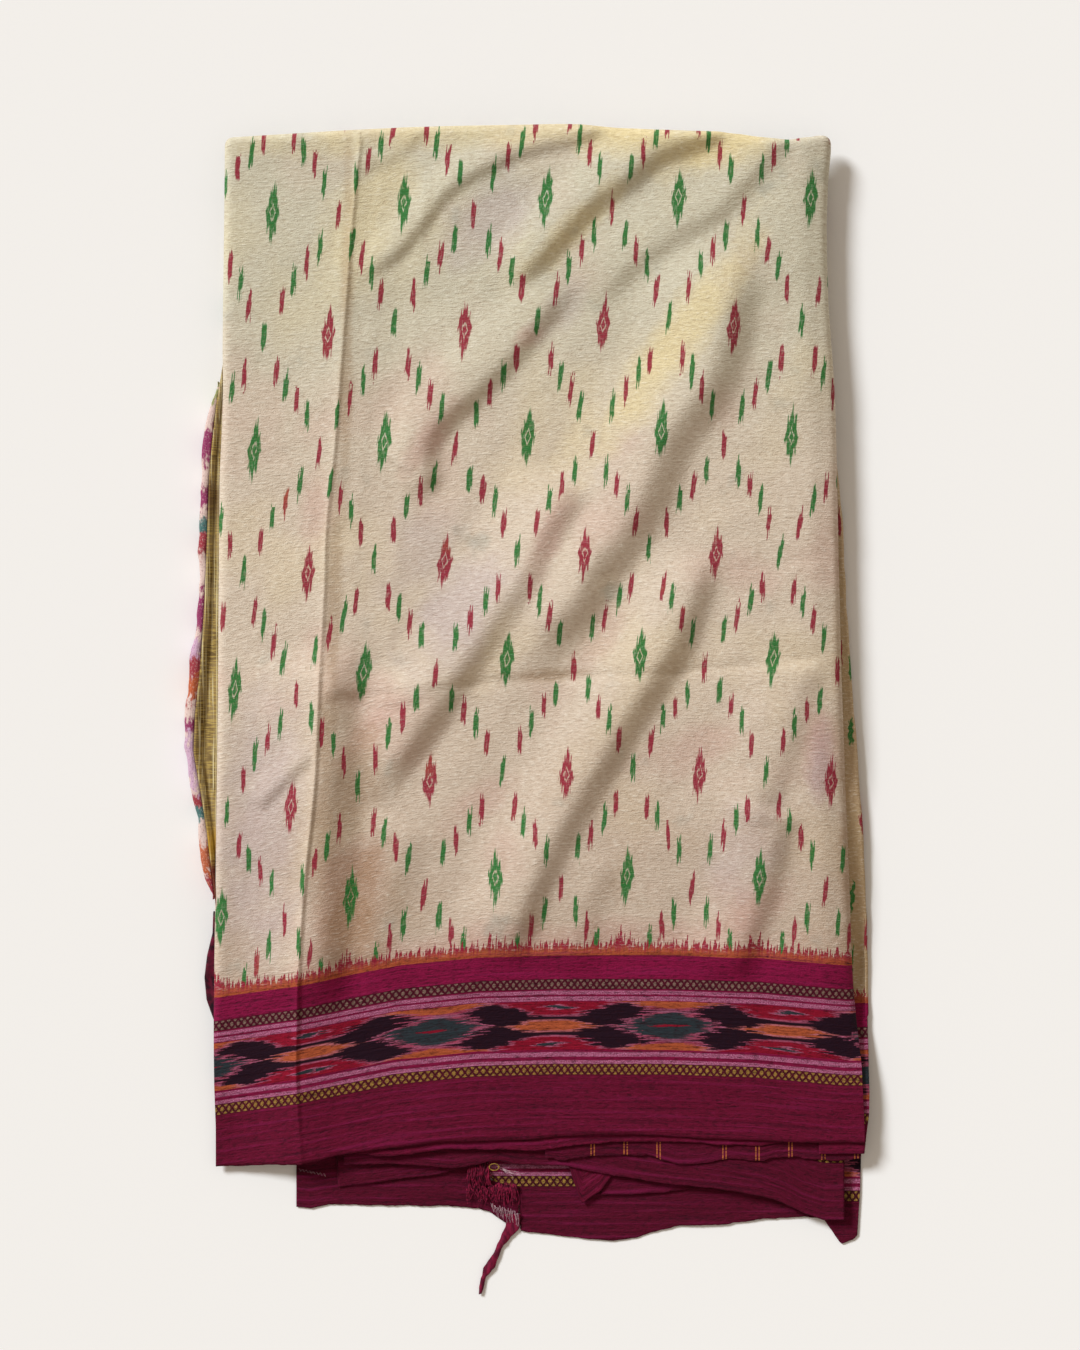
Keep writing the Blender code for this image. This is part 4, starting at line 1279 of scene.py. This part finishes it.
class SARI_OT_end_piece(bpy.types.Operator):
    """Lay the end piece: its gold reverse, its curled edge and its dark border fold"""

    bl_idname = "sari.end_piece"
    bl_label = "End Piece"

    def execute(self, context):
        self.reverse()
        self.curl()
        self.dark_fold()
        return {"FINISHED"}

    def reverse(self):
        form = Form("pallu_reverse")
        y_at, left_at, right_at = form.table(1, 0)
        sx, rows = np.meshgrid(np.linspace(0, 1, 26), np.linspace(form.low[1] + 0.4, form.high[1] - 0.4, 190))
        left, right = np.interp(rows, y_at, left_at) - 1.8, np.interp(rows, y_at, right_at)
        x = left + (right - left) * sx
        z = form.top(x, rows) + 0.2 * noise(x / 3.0, rows / 8.0, 61)
        cloth = lay_cloth("end_piece_reverse", x, rows, z, x, rows, pallu_silk(False))
        finish_piece(cloth, ["pallu_reverse"])

    def curl(self):
        form = Form("pallu_curl")
        y_at, left_at, right_at = form.table(1, 0)
        _, _, top_at = form.table(1, 2)
        rows = np.linspace(form.low[1] - 3.0, form.high[1] + 2.0, 250)
        edge = np.interp(rows, y_at, left_at) + wavy(rows, 63, 1.3, 15.0) + wavy(rows, 64, 0.6, 5.0)
        foot = np.interp(rows, y_at, right_at) + wavy(rows, 65, 0.5, 9.0)
        closing_top = smooth(form.high[1] - 22, form.high[1] + 8, rows)
        closing = np.maximum(closing_top, smooth(form.low[1] + 10, form.low[1] - 5, rows))
        edge = edge + (foot - 0.8 - edge) * closing
        top = np.interp(rows, y_at, top_at)
        angles = np.radians(np.linspace(180, 8, 18))
        grid = []
        for y, a, b, t in zip(rows, edge, foot, top):
            half, middle = 0.5 * (b - a), 0.5 * (a + b)
            rise = min(1.0 + half / 3.0, 2.6)
            base = t - rise
            wall = base - CURL_FOOT
            xs = [a + 0.7, a + 0.2, a] + list(middle + half * np.cos(angles))
            zs = [CURL_FOOT + wall * share for share in (0.0, 0.35, 0.75)]
            zs += list(base + rise * np.sin(angles))
            grid.append(np.stack([xs, np.full(len(xs), y), zs], 1))
        x, y, z = coordinates(grid)
        z = z + 0.3 * noise(x / 3.0 + 5.0, y / 9.0, 66)
        length = run_length(x, z)
        cloth = lay_cloth("end_piece_curl", x, y, z, length, y, pallu_silk(True))
        finish_piece(cloth, ["pallu_curl"])

    def dark_fold(self):
        form = Form("pallu_dark_fold")
        y_at, left_at, right_at = form.table(1, 0)
        rows = np.linspace(form.low[1] + 0.3, form.high[1] - 0.3, 60)
        left, right = np.interp(rows, y_at, left_at), np.interp(rows, y_at, right_at)
        grid = []
        for y, a, b in zip(rows, left, right):
            xs = np.linspace(b, a + FOLD_RUN, 20)
            zs = form.top(xs, np.full(xs.shape, y))
            grid.append(rounded_row(xs, zs, y, zs[-1] - CURL_FOOT, -1)[::-1])
        x, y, z = coordinates(grid)
        z = z + 0.3 * noise(x / 4.0, y / 5.0, 67)
        cloth = lay_cloth("end_piece_dark_fold", x, y, z, x, y,
                          thread_material("dark_end_cloth", colour(30, 6, 18), colour(92, 12, 38), 0.2))
        finish_piece(cloth, ["pallu_dark_fold"])


# ---------------------------------------------------------------- torn threads
# Left and right edges of the trailing strip, from the tear to its tip
TAIL_LEFT = [(-13, -285), (-11.6, -291), (-14.4, -298.6), (-19.1, -308.2), (-24.4, -316.1),
             (-26.4, -324.3), (-26.7, -331)]
TAIL_RIGHT = [(-3.5, -285), (-4, -293), (-9.5, -298.6), (-14.4, -304.5), (-18.0, -315.5),
              (-23.1, -320.5), (-26.1, -330.4)]
TUFT_THREADS = 90
PALE_THREADS = 20


class SARI_OT_torn_threads(bpy.types.Operator):
    """Make the crumpled tuft and the strip that trails from the tear"""

    bl_idname = "sari.torn_threads"
    bl_label = "Torn Threads"

    def execute(self, context):
        self.tail()
        self.tuft()
        self.loose()
        return {"FINISHED"}

    def tail(self):
        share = np.linspace(0, 1, len(TAIL_LEFT))
        rows, columns = np.linspace(0, 1, 80), np.linspace(0, 1, 14)
        left = np.stack([np.interp(rows, share, [p[k] for p in TAIL_LEFT]) for k in (0, 1)], 1)
        right = np.stack([np.interp(rows, share, [p[k] for p in TAIL_RIGHT]) for k in (0, 1)], 1)
        left[:, 0] += wavy(rows * 46, 72, 0.5, 2.3) * smooth(0, 0.2, rows)
        right[:, 0] += wavy(rows * 46, 73, 0.7, 2.0) * smooth(0, 0.2, rows)
        x = left[:, :1] + (right[:, :1] - left[:, :1]) * columns
        y = left[:, 1:] + (right[:, 1:] - left[:, 1:]) * columns
        z = 1.0 + 1.2 * smooth(0.14, 0.0, rows)[:, None] + 0.5 * np.sin(np.pi * columns)
        z = z + 0.35 * noise(x / 1.6, y / 7.0, 71)
        strip = lay_cloth("torn_strip", x, y, z, x, y * 0.4,
                          thread_material("torn_cloth", colour(128, 22, 56), colour(84, 14, 40), 0.5))
        finish_piece(strip, ["frayed_tail"])

    def tuft(self):
        form = Form("frayed_tuft")
        low, high = form.low, form.high
        rng = np.random.default_rng(17)
        paths = []
        t = np.linspace(0, 1, 16)
        for k in range(TUFT_THREADS):
            x = rng.uniform(low[0] + 0.5, high[0] - 0.5) + rng.uniform(-2.2, 2.2) * t
            x = x + 0.7 * np.sin(5 * t + k)
            top, foot = high[1] + rng.uniform(-7, 1), low[1] + rng.uniform(-1.5, 9)
            y = top + (foot - top) * t + 0.4 * np.sin(9 * t + k)
            arch = 2.6 * np.sin(np.pi * (0.12 + 0.8 * t))
            z = high[2] - 2.4 + arch * rng.uniform(0.5, 1.0) + rng.uniform(-0.5, 0.4)
            paths.append((np.stack([x, y, z], 1), (1.0, 0.4)))
        tones = thread_material("tuft_thread", colour(134, 22, 58), colour(66, 8, 30), 0.35)
        finish_piece(tubes("torn_tuft", paths, 0.34, tones), ["frayed_tuft"])

    def loose(self):
        """Threads laid bare at the tear, in three bunches."""
        rng = np.random.default_rng(23)
        t = np.linspace(0, 1, 12)

        def hair(x, y, run, drop, sway, z):
            wave = sway * np.sin(rng.uniform(3, 7) * t + rng.uniform(0, 6))
            return np.stack([x + run * t + wave, y - drop * t, z + 0.3 * np.sin(6 * t)], 1), (1.0, 0.5)

        bare = []
        for k in range(PALE_THREADS):
            x = -20.0 + 0.8 * k
            bare.append(hair(x, -279.4 - 0.25 * k + rng.uniform(-0.8, 0.8), rng.uniform(0.2, 1.6),
                             rng.uniform(4, 8), 0.15, 3.1))
        bare += [hair(-17 + 0.9 * k, -258 - 0.5 * k, rng.uniform(5, 10), rng.uniform(0, 5), 0.9, 3.6)
                 for k in range(9)]
        stitches = np.array([(-129 + k, -259.2 - 0.2 * k - 1.4 * (k % 2), 3.4) for k in range(16)])
        bare.append((stitches, (0.9, 0.9)))
        flap = []
        for count, *spans in ((70, (-21, -5), (-270, -267), (-2, 2), (4, 12)),
                              (34, (-34, -21), (-272, -266), (-2, 3), (4, 10))):
            flap += [hair(*[rng.uniform(*span) for span in spans], 0.5, 3.3) for _ in range(count)]
        turn = np.linspace(0, 13, 40)
        loop_x = -18.4 + (2.4 + 0.04 * turn) * np.cos(turn)
        loop = np.stack([loop_x, -258.2 + 1.9 * np.sin(turn), 4.0 + 0.1 * turn], 1)
        bunches = (("torn_pale_threads", colour(226, 200, 206), colour(186, 140, 160), 0.11, bare),
                   ("torn_red_threads", colour(140, 26, 62), colour(74, 10, 34), 0.26, flap),
                   ("torn_gold_loop", colour(176, 140, 62), colour(120, 88, 40), 0.3, [(loop, (1.0, 0.8))]))
        for name, tone, other, radius, paths in bunches:
            threads = tubes(name, paths, radius, thread_material(name + "_dye", tone, other))
            finish_piece(threads)


# ---------------------------------------------------------------- stage
VIEW_CENTRE = (0.0076, 0.0206)      # middle of the view on the cloth
VIEW_HEIGHT = 0.7614                # length of the view on the cloth's top
CLOTH_TOP = 0.014
CAMERA_DISTANCE = 2.0
SUN_ELEVATION = 33.0
SUN_AZIMUTH = 138.0                 # turned from +X towards +Y: upper left
SUN_STRENGTH = 3.55
SUN_SOFTNESS = 16.0                 # degrees
SKY_STRENGTH = 0.40
FLOOR_HALF = 4000.0                 # half size of the floor, in millimetres
FLOOR_TOP = -0.05
SENSOR_WIDTH = 36.0


class SARI_OT_stage(bpy.types.Operator):
    """Set the floor, the soft light and the camera"""

    bl_idname = "sari.stage"
    bl_label = "Floor, Light and Camera"

    def execute(self, context):
        scene = context.scene
        corners = [(x * FLOOR_HALF, y * FLOOR_HALF, FLOOR_TOP)
                   for x, y in ((-1, -1), (1, -1), (1, 1), (-1, 1))]
        floor = make_mesh("floor", corners, [(0, 1, 2, 3)])
        material = bpy.data.materials.new("pale_floor")
        material.use_nodes = True
        shader = material.node_tree.nodes["Principled BSDF"]
        shader.inputs["Base Color"].default_value = (0.92, 0.915, 0.91, 1.0)
        shader.inputs["Roughness"].default_value = 0.9
        shader.inputs["Specular IOR Level"].default_value = 0.1
        floor.data.materials.append(material)

        light = bpy.data.lights.new("window", "SUN")
        light.energy = SUN_STRENGTH
        light.angle = math.radians(SUN_SOFTNESS)
        light.color = (0.93, 0.97, 1.0)
        sun = bpy.data.objects.new("window", light)
        scene.collection.objects.link(sun)
        high, turn = math.radians(SUN_ELEVATION), math.radians(SUN_AZIMUTH)
        away = Vector((math.cos(turn) * math.cos(high), math.sin(turn) * math.cos(high), math.sin(high)))
        sun.rotation_euler = away.to_track_quat("Z", "Y").to_euler()

        world = scene.world or bpy.data.worlds.new("studio")
        scene.world = world
        world.use_nodes = True
        sky = world.node_tree.nodes["Background"]
        sky.inputs["Color"].default_value = (1.0, 0.86, 0.71, 1.0)
        sky.inputs["Strength"].default_value = SKY_STRENGTH

        lens = bpy.data.cameras.new("camera")
        lens.sensor_width = SENSOR_WIDTH
        lens.lens = SENSOR_WIDTH * CAMERA_DISTANCE / VIEW_HEIGHT
        lens.clip_end = 20.0
        camera = bpy.data.objects.new("camera", lens)
        scene.collection.objects.link(camera)
        camera.location = (*VIEW_CENTRE, CLOTH_TOP + CAMERA_DISTANCE)
        scene.camera = camera
        scene.view_settings.view_transform = "Standard"
        return {"FINISHED"}


# ---------------------------------------------------------------- panel and registration
STEPS = (SARI_OT_back_panel, SARI_OT_folded_layers, SARI_OT_lowest_layers, SARI_OT_hem_layers,
         SARI_OT_right_under_fold, SARI_OT_front_panel, SARI_OT_end_piece, SARI_OT_torn_threads,
         SARI_OT_stage)


class SARI_PT_sidebar(bpy.types.Panel):
    """Sidebar page that lists the settings and the pieces"""

    bl_label = "Folded Silk Sari"
    bl_idname = "SARI_PT_sidebar"
    bl_space_type = "VIEW_3D"
    bl_region_type = "UI"
    bl_category = "Sari"

    def draw(self, context):
        for group in (context.scene.sari_sizes, context.scene.sari_colours):
            box = self.layout.box()
            for name in group.__annotations__:
                box.prop(group, name)
        for step in STEPS:
            self.layout.operator(step.bl_idname)


CLASSES = (SariSizes, SariColours, *STEPS, SARI_PT_sidebar)


def register():
    for item in CLASSES:
        bpy.utils.register_class(item)
    bpy.types.Scene.sari_sizes = PointerProperty(type=SariSizes)
    bpy.types.Scene.sari_colours = PointerProperty(type=SariColours)


def unregister():
    del bpy.types.Scene.sari_colours
    del bpy.types.Scene.sari_sizes
    for item in reversed(CLASSES):
        bpy.utils.unregister_class(item)


def main():
    register()
    for step in STEPS:
        group, name = step.bl_idname.split(".")
        getattr(getattr(bpy.ops, group), name)()


if __name__ == "__main__":
    main()
